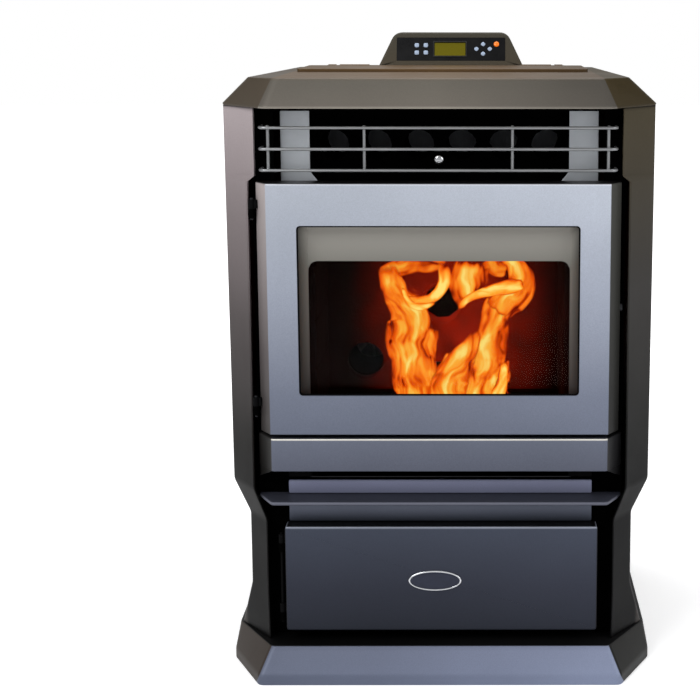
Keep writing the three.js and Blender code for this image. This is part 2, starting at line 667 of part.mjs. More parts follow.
function topPlate() {
  const plan = (noseHalfW, halfW, nose, bevel, back, taper, inset) => bothSides([
    [noseHalfW - inset * 0.5, FACE_Y - nose + inset],
    [halfW - inset, FACE_Y - nose + bevel + inset * 0.5],
    [halfW - taper - inset, back - inset],
  ]);
  const low = (z, inset) => ({
    z,
    points: plan(LID_NOSE_HALF_W, LID_HALF_W, LID_NOSE, LID_BEVEL, BACK_Y, 0, inset),
  });
  const high = (z, inset) => ({
    z,
    points: plan(LID_TOP_NOSE_HALF_W, LID_TOP_HALF_W, -LID_TOP_SETBACK, LID_TOP_BEVEL,
      BACK_Y - LID_REAR_SLOPE, LID_TOP_TAPER, inset),
  });
  const outside = loft([low(LID_Z, 0), high(TOP_Z, 0)]);
  const hollow = loft([low(LID_Z + PLATE, PLATE), high(TOP_Z - PLATE, PLATE)]);
  const flangeHole = box(-LID_HALF_W + LID_FLANGE, LID_HALF_W - LID_FLANGE,
    FRAME_BACK_Y + PLATE, BACK_Y - REAR_FLANGE, LID_Z - PLATE, LID_Z + 2 * PLATE);
  const hopperHole = box(-HOPPER_HALF_W + 2 * SHEET, HOPPER_HALF_W - 2 * SHEET,
    HOPPER_Y + 2 * SHEET, hopperBackY - 2 * SHEET, TOP_Z - 2 * PLATE, TOP_Z + PLATE);
  const brackets = [-bracketX, bracketX].map((x) =>
    slab(x, BRACKET_W / 2, hatchPinY - HATCH_KNUCKLE_R, hatchPinY + HATCH_KNUCKLE_R,
      TOP_Z - 1, hatchPinZ + HATCH_KNUCKLE_R));
  const pinBore = barX(-HATCH_PIN_HALF, HATCH_PIN_HALF, hatchPinY, hatchPinZ,
    HATCH_PIN_R + RUNNING);
  const shell = cut(outside, hollow, flangeHole, hopperHole);
  piece("top_plate", cut(join(shell, ...brackets), pinBore), LID_PAINT);
}

// ---------------------------------------------------------------- hopper lid, seal and pin
const hatchHalfW = HOPPER_HALF_W + HATCH_OVERLAP;
const hatchFrontY = HOPPER_Y - HATCH_OVERLAP;
const hatchBackY = hopperBackY + HATCH_OVERLAP;

function hopperLid() {
  const panel = box(-hatchHalfW, hatchHalfW, hatchFrontY, hatchBackY, hatchZ, hatchZ + HATCH_T);
  const ears = [-HATCH_EAR_X, HATCH_EAR_X].flatMap((x) => [
    slab(x, HATCH_EAR_W / 2, hatchBackY - 1, hatchPinY, hatchZ, hatchZ + HATCH_T),
    barX(x - HATCH_EAR_W / 2, x + HATCH_EAR_W / 2, hatchPinY, hatchPinZ, HATCH_KNUCKLE_R),
  ]);
  const bore = barX(-HATCH_PIN_HALF, HATCH_PIN_HALF, hatchPinY, hatchPinZ,
    HATCH_PIN_R + RUNNING);
  piece("hopper_lid", cut(join(panel, ...ears), bore), LID_PAINT);

  const z0 = TOP_Z + GAP;
  const edge = 2;
  const ring = (inset, low, high) => box(-hatchHalfW + inset, hatchHalfW - inset,
    hatchFrontY + inset, hatchBackY - inset, low, high);
  piece("hopper_lid_gasket", cut(ring(edge, z0, z0 + GASKET_T),
    ring(edge + GASKET_W, z0 - 1, z0 + GASKET_T + 1)), ROPE);
  piece("hopper_hinge_pin", barX(-HATCH_PIN_HALF, HATCH_PIN_HALF, hatchPinY, hatchPinZ,
    HATCH_PIN_R), STEEL);
}

// ---------------------------------------------------------------- hopper bin
const outletY0 = HOPPER_Y + 50;
const outletY1 = HOPPER_Y + HOPPER_D - 8;
const hopperFootZ = AUGER_Z + FEED_R + COLLAR_H + GAP;

function hopperBin() {
  const rect = (halfW, y0, y1, grow) => [
    [-halfW - grow, y0 - grow], [halfW + grow, y0 - grow],
    [halfW + grow, y1 + grow], [-halfW - grow, y1 + grow],
  ];
  const walls = (grow, extra) => loft([
    { z: hopperFootZ - extra, points: rect(COLLAR_HALF_W - 4, outletY0, outletY1, grow) },
    { z: hopperFootZ + 4, points: rect(COLLAR_HALF_W - 4, outletY0, outletY1, grow) },
    { z: LID_Z - HOPPER_SHAFT_H, points: rect(HOPPER_HALF_W, HOPPER_Y, hopperBackY, grow) },
    { z: TOP_Z - PLATE - GAP + extra,
      points: rect(HOPPER_HALF_W, HOPPER_Y, hopperBackY, grow) },
  ]);
  piece("hopper_bin", cut(walls(SHEET, 0), walls(0, 1)), STEEL);
}

// ---------------------------------------------------------------- console
function consoleUnit() {
  const lean = Math.atan2(CONSOLE_LEAN, CONSOLE_H);
  const footZ = TOP_Z + GAP;
  const roof = 6;
  const level = (z, narrow) => {
    const t = (z - TOP_Z) / CONSOLE_H;
    const halfW = mix(CONSOLE_FOOT_HALF_W, CONSOLE_TOP_HALF_W, t) - narrow;
    const y0 = CONSOLE_Y + CONSOLE_LEAN * t;
    const y1 = y0 + mix(CONSOLE_FOOT_D, CONSOLE_TOP_D, t);
    return {
      z,
      points: [[CONSOLE_X - halfW, y0], [CONSOLE_X + halfW, y0],
        [CONSOLE_X + halfW, y1], [CONSOLE_X - halfW, y1]],
    };
  };
  // The face frame: x to the right, y into the console, z up along the leaning front.
  const face = new THREE.Group();
  face.position.set(CONSOLE_X, CONSOLE_Y, TOP_Z);
  face.rotation.x = -lean;
  stove.add(face);
  face.updateMatrix();
  const faceMid = CONSOLE_H / Math.cos(lean) / 2 + 1.5;
  const onFace = (g) => g.applyMatrix4(face.matrix);
  const panel = (halfW, halfH, y0, y1) =>
    box(-halfW, halfW, y0, y1, faceMid - halfH, faceMid + halfH);

  const shell = loft([level(footZ, 0), level(CONSOLE_TOP_Z - roof, 0),
    level(CONSOLE_TOP_Z, roof * 0.8)]);
  const seat = onFace(panel(FASCIA_W / 2 + GAP, FASCIA_H / 2 + GAP, -5, FASCIA_T + GAP));
  const pocketHalfW = FASCIA_W / 2 - POCKET_RIM;
  const pocketHalfH = FASCIA_H / 2 - POCKET_RIM;
  const pocket = onFace(panel(pocketHalfW, pocketHalfH, -5, POCKET_D));
  piece("console_housing", cut(shell, seat, pocket), LID_PAINT);

  const keyFlangeT = 1;
  const boardY = FASCIA_T + GAP + keyFlangeT + KEY_TRAVEL + GAP;
  const keys = [];
  for (let row = 0; row < 2; row++) {
    for (let column = 0; column < 2; column++) {
      keys.push({
        name: `menu_key_${row * 2 + column + 1}`,
        x: KEY_GRID_X + (column - 0.5) * KEY_GRID_PITCH_X,
        z: faceMid + (0.5 - row) * KEY_GRID_PITCH_Y,
      });
    }
  }
  keys.push({ name: "pad_key_left", x: PAD_X - PAD_REACH_X, z: faceMid });
  keys.push({ name: "pad_key_right", x: PAD_X + PAD_REACH_X, z: faceMid });
  keys.push({ name: "pad_key_up", x: PAD_X, z: faceMid + PAD_REACH_Y });
  keys.push({ name: "pad_key_down", x: PAD_X, z: faceMid - PAD_REACH_Y });
  const lampZ = faceMid + LAMP_Y;
  const screen = (grow, y0, y1) => box(SCREEN_X - SCREEN_W / 2 - grow,
    SCREEN_X + SCREEN_W / 2 + grow, y0, y1,
    faceMid - SCREEN_H / 2 - grow, faceMid + SCREEN_H / 2 + grow);

  const fasciaHoles = [
    screen(GAP, -1, FASCIA_T + 1),
    barY(-1, FASCIA_T + 1, LAMP_X, lampZ, LAMP_R + GAP),
    ...keys.map(({ x, z }) => barY(-1, FASCIA_T + 1, x, z, KEY_R + RUNNING)),
  ];
  piece("control_fascia",
    cut(panel(FASCIA_W / 2, FASCIA_H / 2, 0, FASCIA_T), ...fasciaHoles), PLASTIC, face);
  piece("lcd_window", screen(0, GAP, boardY - GAP), SCREEN, face);
  piece("status_lamp", barY(-KEY_PROUD, boardY - GAP, LAMP_X, lampZ, LAMP_R), LAMP, face);
  piece("control_board",
    panel(pocketHalfW - GAP, pocketHalfH - GAP, boardY, boardY + BOARD_T), BOARD, face);
  for (const { name, x, z } of keys) {
    const cap = barY(-KEY_PROUD, FASCIA_T + 2 * GAP, x, z, KEY_R);
    const flangeY = FASCIA_T + GAP;
    const flange = barY(flangeY, flangeY + keyFlangeT, x, z, KEY_R + 1.2);
    piece(name, join(cap, flange), KEY, face);
  }
}

// ---------------------------------------------------------------- air outlet
const fireboxTopZ = FIREBOX_Z + FIREBOX_H;
const lidRoofZ = TOP_Z - PLATE - GAP;

function airOutletGrille() {
  const y = FACE_Y + ROD_SETBACK;
  const sides = 8;
  const endY = FRAME_Y - GAP;
  const topZ = LID_Z - ROD_TOP_BELOW_LID;
  const rods = [];
  for (let row = 0; row < 3; row++) {
    const z = topZ - row * ROD_PITCH;
    rods.push(barX(-ROD_HALF_W, ROD_HALF_W, y, z, ROD_R, sides));
    for (const x of [-ROD_HALF_W, ROD_HALF_W]) {
      rods.push(barY(y, endY, x, z, ROD_R, sides));
      rods.push(new THREE.SphereGeometry(ROD_R, sides, 6).translate(x, y, z));
    }
  }
  for (const x of [-UPRIGHT_OUTER_X, -UPRIGHT_INNER_X, UPRIGHT_INNER_X, UPRIGHT_OUTER_X]) {
    rods.push(barZ(topZ - 2 * ROD_PITCH - ROD_R, topZ + ROD_R, x, y + 1.5 * ROD_R, ROD_R,
      sides));
  }
  piece("air_outlet_grille", join(...rods), STEEL);
}

function outletVanes() {
  const z0 = fireboxTopZ + GAP;
  const right = [
    [VANE_INNER_X - VANE_FOOT, z0],
    [VANE_INNER_X + VANE_W, z0],
    [VANE_INNER_X + VANE_W, lidRoofZ],
    [VANE_INNER_X, lidRoofZ],
    [VANE_INNER_X, z0 + VANE_FOOT_H],
  ];
  const vane = (pairs) => prismY(outline(pairs), VANE_Y, VANE_Y + SHEET);
  piece("right_outlet_vane", vane(right), ALUMINIUM);
  piece("left_outlet_vane", vane(mirrored(right)), ALUMINIUM);
}

const exchangerBackY = HOPPER_Y - EXCHANGER_REAR_CLEAR;
const scraperPlateY = exchangerBackY - SCRAPER_PLATE_INSET;
const tubeXs = Array.from({ length: TUBE_COUNT }, (_, i) =>
  (i - (TUBE_COUNT - 1) / 2) * TUBE_PITCH);

function heatExchanger() {
  const y1 = EXCHANGER_Y + PLATE;
  const plate = slab(0, EXCHANGER_HALF_W, EXCHANGER_Y, y1, fireboxTopZ + GAP, lidRoofZ);
  const tubes = tubeXs.map((x) =>
    barY(EXCHANGER_Y + 1, exchangerBackY, x, TUBE_Z, TUBE_R, 16));
  const bores = tubeXs.map((x) =>
    barY(EXCHANGER_Y - 1, exchangerBackY + 1, x, TUBE_Z, TUBE_R - TUBE_WALL, 16));
  const rodBore = barY(EXCHANGER_Y - 1, y1 + 1, 0, SCRAPER_Z, SCRAPER_R + RUNNING);
  piece("heat_exchanger", cut(join(plate, ...tubes), ...bores, rodBore), BLACK_STEEL);
}

function scraperRod() {
  const margin = TUBE_R + SCRAPER_CLEAR + 4;
  const plateY1 = scraperPlateY + SHEET;
  const plate = slab(0, tubeXs[TUBE_COUNT - 1] + margin, scraperPlateY, plateY1,
    TUBE_Z - margin, TUBE_Z + margin);
  const holes = tubeXs.map((x) => barY(scraperPlateY - 1, plateY1 + 1, x, TUBE_Z,
    TUBE_R + SCRAPER_CLEAR, 16));
  const rod = barY(SCRAPER_KNOB_Y + 2, plateY1, 0, SCRAPER_Z, SCRAPER_R, 12);
  const knob = barY(SCRAPER_KNOB_Y, SCRAPER_KNOB_Y + 12, 0, SCRAPER_Z, SCRAPER_KNOB_R, 16);
  piece("scraper_rod", join(cut(plate, ...holes), rod, knob), CHROME);
}

// ---------------------------------------------------------------- door
// Eye of a door hinge and the web that joins it to the door's edge.
function doorEye(x, y, z, edgeX) {
  return [
    barZ(z, z + KNUCKLE_H, x, y, DOOR_KNUCKLE_R),
    box(x, edgeX, y - PIN_R, y + PIN_R, z, z + KNUCKLE_H),
  ];
}
const pinBore = (x, y, z) =>
  barZ(z - KNUCKLE_H, z + 2 * KNUCKLE_H, x, y, PIN_R + RUNNING);

function doorFrame() {
  const plan = (inset, back) => bothSides([
    [DOOR_FACE_HALF_W - inset * 0.5, FACE_Y + inset],
    [DOOR_HALF_W - inset, FACE_Y + DOOR_BEVEL + inset * 0.3],
    [DOOR_HALF_W - inset, FACE_Y + back],
  ]);
  const shell = cut(
    prismZ(plan(0, DOOR_D), DOOR_Z, DOOR_Z + DOOR_H),
    prismZ(plan(PLATE, DOOR_D + 1), DOOR_Z + PLATE, DOOR_Z + DOOR_H - PLATE),
    slab(0, WINDOW_HALF_W, FACE_Y - 1, FACE_Y + PLATE + 1, WINDOW_Z, WINDOW_Z + WINDOW_H),
    barX(DOOR_HALF_W - 2 * PLATE, DOOR_HALF_W + 1, latchY, latchZ, LATCH_SHAFT_R + RUNNING),
  );
  const eyes = doorHingeHeights.flatMap((z) =>
    doorEye(DOOR_HINGE_X, doorHingeY, z, -DOOR_HALF_W + PLATE + 1));
  const bores = doorHingeHeights.map((z) => pinBore(DOOR_HINGE_X, doorHingeY, z));
  piece("door_frame", cut(join(shell, ...eyes), ...bores), DOOR_PAINT);

  const [lowZ, highZ] = doorHingeHeights;
  const pin = (z) => barZ(z - KNUCKLE_H - 2, z + KNUCKLE_H + 2, DOOR_HINGE_X, doorHingeY,
    PIN_R);
  piece("lower_door_hinge_pin", pin(lowZ), STEEL);
  piece("upper_door_hinge_pin", pin(highZ), STEEL);
}

// Rectangles round the firebox mouth, in front view: grow is measured from the mouth's edge.
const sealRing = (grow, y0, y1) => box(-SEAL_HALF_W + SEAL_W - grow,
  SEAL_HALF_W - SEAL_W + grow, y0, y1,
  FIREBOX_MOUTH_Z - 1 - grow, FIREBOX_MOUTH_Z + FIREBOX_MOUTH_H + 1 + grow);

// Glass opening with rounded top corners.
function glassOpening() {
  const x = GLASS_HALF_W;
  const z0 = WINDOW_Z - GLASS_BELOW;
  const z1 = WINDOW_Z + WINDOW_H - GLASS_TOP_BAND;
  const r = GLASS_CORNER_R;
  const shape = new THREE.Shape();
  shape.moveTo(-x, z0);
  shape.lineTo(x, z0);
  shape.lineTo(x, z1 - r);
  shape.absarc(x - r, z1 - r, r, 0, Math.PI / 2, false);
  shape.lineTo(-x + r, z1);
  shape.absarc(-x + r, z1 - r, r, Math.PI / 2, Math.PI, false);
  return shape;
}

function doorInside() {
  const frontY = FACE_Y + PLATE + GAP;
  const panelY = frontY + REVEAL_D;
  const glassY = panelY + REVEAL_T + GAP;
  const sealY = FRAME_Y - GAP - 11;
  const rim = 12;
  const block = slab(0, WINDOW_HALF_W + rim, frontY, panelY + REVEAL_T, WINDOW_Z - rim,
    WINDOW_Z + WINDOW_H + rim);
  const rect = (halfW, z0, z1) => [[-halfW, z0], [halfW, z0], [halfW, z1], [-halfW, z1]];
  const windowTopZ = WINDOW_Z + WINDOW_H;
  const front = rect(WINDOW_HALF_W, WINDOW_Z, windowTopZ);
  const back = rect(WINDOW_HALF_W - REVEAL_IN, WINDOW_Z - GLASS_BELOW / 2, windowTopZ - 3);
  const splay = loft([
    { z: -panelY, points: back },
    { z: -frontY, points: front },
    { z: -frontY + 1, points: front },
  ]).rotateX(Math.PI / 2);
  const opening = prismY(glassOpening(), panelY - 1, panelY + REVEAL_T + 1);
  const land = cut(sealRing(SEAL_W + 1, panelY, sealY - GAP),
    sealRing(-1, panelY + REVEAL_T, sealY + 1));
  piece("door_reveal", cut(join(block, land), splay, opening), CAST_IRON);

  const lap = GLASS_LAP;
  piece("door_glass", slab(0, GLASS_HALF_W + lap, glassY, glassY + GLASS_T,
    WINDOW_Z - GLASS_BELOW - lap, windowTopZ - GLASS_TOP_BAND + lap), GLASS);
  piece("door_gasket", cut(sealRing(SEAL_W, sealY, FRAME_Y - GAP),
    sealRing(0, sealY - 1, FRAME_Y)), ROPE);
}

// Turning shaft with an arm and a hook that swings back through the frame's slot.
function doorLatch() {
  const shaft = barX(LATCH_X - LATCH_T, DOOR_HALF_W + 3, latchY, latchZ, LATCH_SHAFT_R);
  const arm = slab(LATCH_X, LATCH_T / 2, latchY - 4, latchY + 4, latchZ - LATCH_ARM - 3,
    latchZ);
  const hook = slab(LATCH_X, LATCH_T / 2, latchY, latchY + LATCH_HOOK,
    latchZ - LATCH_ARM - 3, latchZ - LATCH_ARM + 3);
  piece("door_latch", join(shaft, arm, hook), STEEL);
}

// ---------------------------------------------------------------- ash drawer and shelf
function ashDrawer() {
  const backY = FACE_Y + DOOR_D;
  const faceTopZ = DRAWER_FACE_Z + DRAWER_FACE_H;
  const plan = (inset, back) => bothSides([
    [DRAWER_FACE_HALF_W - inset * 0.5, FACE_Y + inset],
    [DRAWER_WING_HALF_W - inset, FACE_Y + DRAWER_WING_D + inset * 0.5],
    [DRAWER_WING_HALF_W - inset, back],
  ]);
  const face = cut(
    prismZ(plan(0, backY), DRAWER_FACE_Z, faceTopZ),
    prismZ(plan(PLATE, backY + 2), DRAWER_FACE_Z + PLATE, faceTopZ - PLATE),
  );
  const wing = sheetSection([
    [DRAWER_FACE_HALF_W + 1, FACE_Y + 3],
    [DRAWER_WING_HALF_W - 0.5, FACE_Y + DRAWER_WING_D],
  ], PLATE);
  const wingZ = DRAWER_FACE_Z - DRAWER_WING_DROP;
  const wingBackY = FACE_Y + DRAWER_WING_D + 1;
  const wingSlope = prismX([
    [FACE_Y, DRAWER_FACE_Z],
    [FACE_Y, wingZ - 1],
    [wingBackY, wingZ - 1],
    [wingBackY, wingZ],
  ], -DRAWER_WING_HALF_W - 1, DRAWER_WING_HALF_W + 1);
  const wings = [wing, mirrored(wing)].map((pairs) =>
    cut(prismZ(pairs, wingZ, DRAWER_FACE_Z + 1), wingSlope));
  const z0 = DECK_TOP_Z + GAP;
  const trayY = backY - 2 * SHEET;
  const tray = cut(
    slab(0, TRAY_HALF_W, trayY, trayY + TRAY_D, z0, z0 + TRAY_H),
    slab(0, TRAY_HALF_W - SHEET, trayY + SHEET, trayY + TRAY_D - SHEET, z0 + SHEET,
      z0 + TRAY_H + 1),
  );
  piece("ash_drawer", join(face, ...wings, tray), PAINT);
}

function ashShelf() {
  const noseY = FACE_Y - SHELF_NOSE;
  const plan = bothSides([
    [SHELF_NOSE_HALF_W, noseY],
    [SHELF_HALF_W, noseY + SHELF_BEVEL],
    [SHELF_HALF_W, FRAME_Y - GAP],
  ]);
  piece("ash_shelf", prismZ(plan, SHELF_Z, SHELF_Z + SHELF_T), PAINT);
}

// ---------------------------------------------------------------- pedestal door
function pedestalDoor() {
  const frontY = FACE_Y + CUPBOARD_SETBACK;
  const backY = frontY + CUPBOARD_D;
  const topZ = CUPBOARD_Z + CUPBOARD_H;
  const pan = cut(
    slab(CUPBOARD_X, CUPBOARD_HALF_W, frontY, backY, CUPBOARD_Z, topZ),
    slab(CUPBOARD_X, CUPBOARD_HALF_W - PLATE, frontY + PLATE, backY + 1,
      CUPBOARD_Z + PLATE, topZ - PLATE),
  );
  const eyes = cupboardHingeHeights.flatMap((z) =>
    doorEye(CUPBOARD_HINGE_X, cupboardHingeY, z, CUPBOARD_X - CUPBOARD_HALF_W + PLATE - 1));
  const bores = cupboardHingeHeights.map((z) =>
    pinBore(CUPBOARD_HINGE_X, cupboardHingeY, z));
  piece("pedestal_door", cut(join(pan, ...eyes), ...bores), PAINT);
  const [lowZ, highZ] = cupboardHingeHeights;
  piece("pedestal_hinge_pin", barZ(lowZ - KNUCKLE_H - 2, highZ + KNUCKLE_H + 2,
    CUPBOARD_HINGE_X, cupboardHingeY, PIN_R), STEEL);

  const badge = new THREE.Shape();
  const badgeZ = CUPBOARD_Z + CUPBOARD_H / 2 - BADGE_BELOW_MIDDLE;
  badge.absellipse(BADGE_X, badgeZ, BADGE_HALF_W, BADGE_HALF_H, 0, 2 * Math.PI);
  const plate = new THREE.ExtrudeGeometry(badge, {
    depth: BADGE_T,
    bevelEnabled: false,
    curveSegments: 32,
  });
  piece("badge_plate", plate.rotateX(Math.PI / 2).translate(0, frontY - GAP, 0), CHROME);
}

// ---------------------------------------------------------------- firebox
const fireboxY = FRAME_BACK_Y + GAP;
const fireboxBackY = HOPPER_Y - SHEET - FIREBOX_REAR_CLEAR;
const hearthZ = FIREBOX_Z + FIREBOX_WALL;
const liningBackY = fireboxBackY - FIREBOX_WALL - GAP;
const brickFrontY = liningBackY - BRICK_T;
const insideHalfW = FIREBOX_HALF_W - FIREBOX_WALL - GAP;
const potBackY = brickFrontY - 8;

// Round ways through the firebox's back wall and lining.
const backWays = (clear) => {
  const y = [brickFrontY - 1, fireboxBackY + 1];
  return [
    barY(...y, 0, AUGER_Z, FEED_R + clear, 24),
    barY(...y, EXHAUST_X, EXHAUST_Z, EXHAUST_DUCT_R + clear, 24),
    barY(...y, IGNITER_X, IGNITER_Z, IGNITER_R + clear),
    barY(...y, AIR_X, AIR_Z, AIR_R - SHEET, 24),
  ];
};

function firebox() {
  const halfW = FIREBOX_HALF_W;
  const wall = FIREBOX_WALL;
  const outer = slab(0, halfW, fireboxY, fireboxBackY, DECK_TOP_Z + GAP, fireboxTopZ);
  const chamber = slab(0, halfW - wall, fireboxY - 1, fireboxBackY - wall, hearthZ,
    fireboxTopZ - wall);
  const ashWay = slab(0, halfW - wall, fireboxY - 1, fireboxBackY - wall,
    DECK_TOP_Z - 1, FIREBOX_Z);
  const slotX = (POT_HALF_W + insideHalfW - BRICK_T) / 2;
  const slots = [-slotX, slotX].map((x) => slab(x, POT_HALF_W * 0.7, fireboxY + 40,
    potBackY - 10, FIREBOX_Z - 1, hearthZ + 1));
  piece("firebox_shell", cut(outer, chamber, ashWay, ...slots, ...backWays(GAP)), CAST_IRON);

  const z0 = hearthZ + GAP;
  const back = slab(0, insideHalfW, brickFrontY, liningBackY, z0, z0 + BRICK_H);
  piece("back_brick", cut(back, ...backWays(GAP)), BRICK);
  const side = (x0, x1) => box(x0, x1, fireboxY + 4, brickFrontY - GAP, z0, z0 + BRICK_H);
  piece("left_brick", side(-insideHalfW, -insideHalfW + BRICK_T), BRICK);
  piece("right_brick", side(insideHalfW - BRICK_T, insideHalfW), BRICK);
  const baffleZ = z0 + BRICK_H + GAP;
  piece("baffle_plate", slab(0, insideHalfW, fireboxY + BAFFLE_FRONT, liningBackY, baffleZ,
    baffleZ + BAFFLE_T), CAST_IRON);
}

function burnPot() {
  const z0 = hearthZ + GAP;
  const y0 = potBackY - POT_D;
  const cup = cut(
    slab(0, POT_HALF_W, y0, potBackY, z0, z0 + POT_H),
    slab(0, POT_HALF_W - POT_WALL, y0 + POT_WALL, potBackY - POT_WALL, z0 + POT_WALL,
      z0 + POT_H + 1),
  );
  const airHoles = [];
  for (let row = -1; row <= 1; row++) {
    for (let column = -1; column <= 1; column++) {
      airHoles.push(barZ(z0 - 1, z0 + POT_WALL + 1, column * POT_HALF_W / 2,
        (y0 + potBackY) / 2 + row * POT_D / 4, 3, 8));
    }
  }
  const lighterWay = barY(potBackY - POT_WALL - 1, potBackY + 1, IGNITER_X, IGNITER_Z,
    IGNITER_R + GAP);
  piece("burn_pot", cut(cup, ...airHoles, lighterWay), CAST_IRON);
  const tipY = potBackY - POT_WALL;
  piece("igniter", barY(tipY, tipY + IGNITER_L, IGNITER_X, IGNITER_Z, IGNITER_R), STEEL);
}

// ---------------------------------------------------------------- auger feed
const feedY0 = brickFrontY - FEED_OVERHANG;
const feedY1 = REAR_PANEL_Y - AUGER_REAR_CLEAR - AUGER_MOTOR_L - GAP;

// Flat ribbon that winds round the Y axis: a closed strip of four corners at each step.
function augerFlight(y0, y1, inner, outer) {
  const turns = (y1 - y0) / AUGER_PITCH;
  const steps = Math.round(turns * 10);
  const corners = [];
  for (let i = 0; i <= steps; i++) {
    const angle = turns * 2 * Math.PI * i / steps;
    const y = mix(y0, y1, i / steps);
    for (const [r, dy] of [[inner, -0.5], [outer, -0.5], [outer, 0.5], [inner, 0.5]]) {
      corners.push(r * Math.cos(angle), y + dy * AUGER_FLIGHT_T, r * Math.sin(angle));
    }
  }
  const index = [0, 2, 1, 0, 3, 2];
  for (let i = 0; i < steps; i++) {
    for (let k = 0; k < 4; k++) {
      const a = i * 4 + k;
      const b = i * 4 + (k + 1) % 4;
      index.push(a, b, b + 4, a, b + 4, a + 4);
    }
  }
  const e = steps * 4;
  index.push(e, e + 1, e + 2, e, e + 2, e + 3);
  const g = new THREE.BufferGeometry();
  g.setAttribute("position", new THREE.Float32BufferAttribute(corners, 3));
  return g.setIndex(index);
}

function augerFeed() {
  const inner = FEED_R - FEED_WALL;
  const collarTopZ = AUGER_Z + FEED_R + COLLAR_H;
  const tube = barY(feedY0, feedY1, 0, AUGER_Z, FEED_R, 24);
  const collar = box(-COLLAR_HALF_W, COLLAR_HALF_W, outletY0 - SHEET - 2,
    outletY1 + SHEET + 2, AUGER_Z, collarTopZ);
  const bore = barY(feedY0 - 1, feedY1 - FEED_WALL, 0, AUGER_Z, inner, 24);
  const shaftBore = barY(feedY1 - FEED_WALL - 1, feedY1 + 1, 0, AUGER_Z,
    AUGER_SHAFT_R + RUNNING);
  const throat = slab(0, COLLAR_HALF_W - 8, outletY0, outletY1, AUGER_Z, collarTopZ + 1);
  piece("feed_tube", cut(join(tube, collar), bore, shaftBore, throat), STEEL);

  const shaftY1 = feedY1 + 12;
  const shaft = barY(feedY0, shaftY1, 0, AUGER_Z, AUGER_SHAFT_R);
  const flight = augerFlight(feedY0 + 4, feedY1 - FEED_WALL - 4, AUGER_SHAFT_R - 2,
    inner - AUGER_FLIGHT_CLEAR).translate(0, 0, AUGER_Z);
  piece("auger_screw", join(shaft, flight), STEEL);

  const half = AUGER_MOTOR_W / 2;
  const motorY = feedY1 + GAP;
  const motor = box(-half, half, motorY, motorY + AUGER_MOTOR_L, AUGER_Z - half,
    AUGER_Z + half);
  const socket = barY(motorY - 1, shaftY1 + GAP, 0, AUGER_Z, AUGER_SHAFT_R + RUNNING);
  piece("auger_motor", cut(motor, socket), ALUMINIUM);
}

// ---------------------------------------------------------------- fans
// Fan wheel along +Z from z = 0: back disc, hub, straight blades and a shaft behind the disc.
// It leaves its running clearance at both ends of the room that it turns in.
function fanWheel(radius, room) {
  const width = room - 2 * FAN_DISC_CLEAR - SHEET;
  const blades = [];
  for (let i = 0; i < FAN_BLADES; i++) {
    const blade = box(FAN_HUB_R - 1, radius, -FAN_BLADE_T / 2, FAN_BLADE_T / 2, SHEET - 1, width);
    blades.push(blade.rotateZ(i * 2 * Math.PI / FAN_BLADES));
  }
  return join(
    barZ(0, SHEET, 0, 0, radius, 24),
    barZ(0, width * 0.8, 0, 0, FAN_HUB_R),
    barZ(-FAN_SHAFT_L, 1, 0, 0, FAN_SHAFT_R),
    ...blades,
  );
}

function exhaustFan() {
  const y0 = EXHAUST_Y;
  const y1 = y0 + EXHAUST_W;
  const wall = SHEET;
  const boxX0 = FLUE_X - EXHAUST_OUT_W / 2;
  const boxX1 = FLUE_X + EXHAUST_OUT_W / 2;
  const boxZ0 = EXHAUST_Z - EXHAUST_OUT_H;
  const outer = join(
    barY(y0, y1, EXHAUST_X, EXHAUST_Z, EXHAUST_R, 28),
    box(boxX0, boxX1, y0, y1, boxZ0, EXHAUST_Z),
    barY(fireboxBackY + GAP, y0 + 1, EXHAUST_X, EXHAUST_Z, EXHAUST_DUCT_R, 24),
  );
  const inner = join(
    barY(y0 + wall, y1 - wall, EXHAUST_X, EXHAUST_Z, EXHAUST_R - wall, 28),
    box(boxX0 + wall, boxX1 - wall, y0 + wall, y1 - wall, boxZ0 + wall, EXHAUST_Z),
    barY(fireboxBackY, y0 + wall + 1, EXHAUST_X, EXHAUST_Z, EXHAUST_DUCT_R - wall, 24),
  );
  const flueHole = barY(y1 - wall - 1, y1 + 1, FLUE_X, FLUE_Z, FLUE_R - wall, 24);
  const shaftHole = barY(y1 - wall - 1, y1 + 1, EXHAUST_X, EXHAUST_Z,
    FAN_SHAFT_R + RUNNING);
  piece("exhaust_fan_housing", cut(outer, inner, flueHole, shaftHole), CAST_IRON);

  const wheelY = y1 - wall - FAN_DISC_CLEAR;
  const wheel = fanWheel(EXHAUST_R - wall - FAN_RIM_CLEAR, EXHAUST_W - 2 * wall);
  piece("exhaust_impeller", wheel.rotateX(Math.PI / 2).translate(EXHAUST_X, wheelY,
    EXHAUST_Z), STEEL);
  const motorY = y1 + GAP;
  const socket = barY(motorY - 1, wheelY + FAN_SHAFT_L + GAP, EXHAUST_X, EXHAUST_Z,
    FAN_SHAFT_R + RUNNING);
  piece("exhaust_motor", cut(barY(motorY, motorY + MOTOR_L, EXHAUST_X, EXHAUST_Z,
    EXHAUST_MOTOR_R, 28), socket), ALUMINIUM);

  const pipeY = y1 + GAP;
  const flange = barY(BACK_Y + GAP, BACK_Y + GAP + PLATE, FLUE_X, FLUE_Z, FLUE_FLANGE_R, 24);
  const pipe = join(barY(pipeY, BACK_Y + FLUE_REACH, FLUE_X, FLUE_Z, FLUE_R, 24), flange);
  piece("flue_collar", cut(pipe, barY(pipeY - 1, BACK_Y + FLUE_REACH + 1, FLUE_X, FLUE_Z,
    FLUE_R - SHEET, 24)), BLACK_STEEL);
}

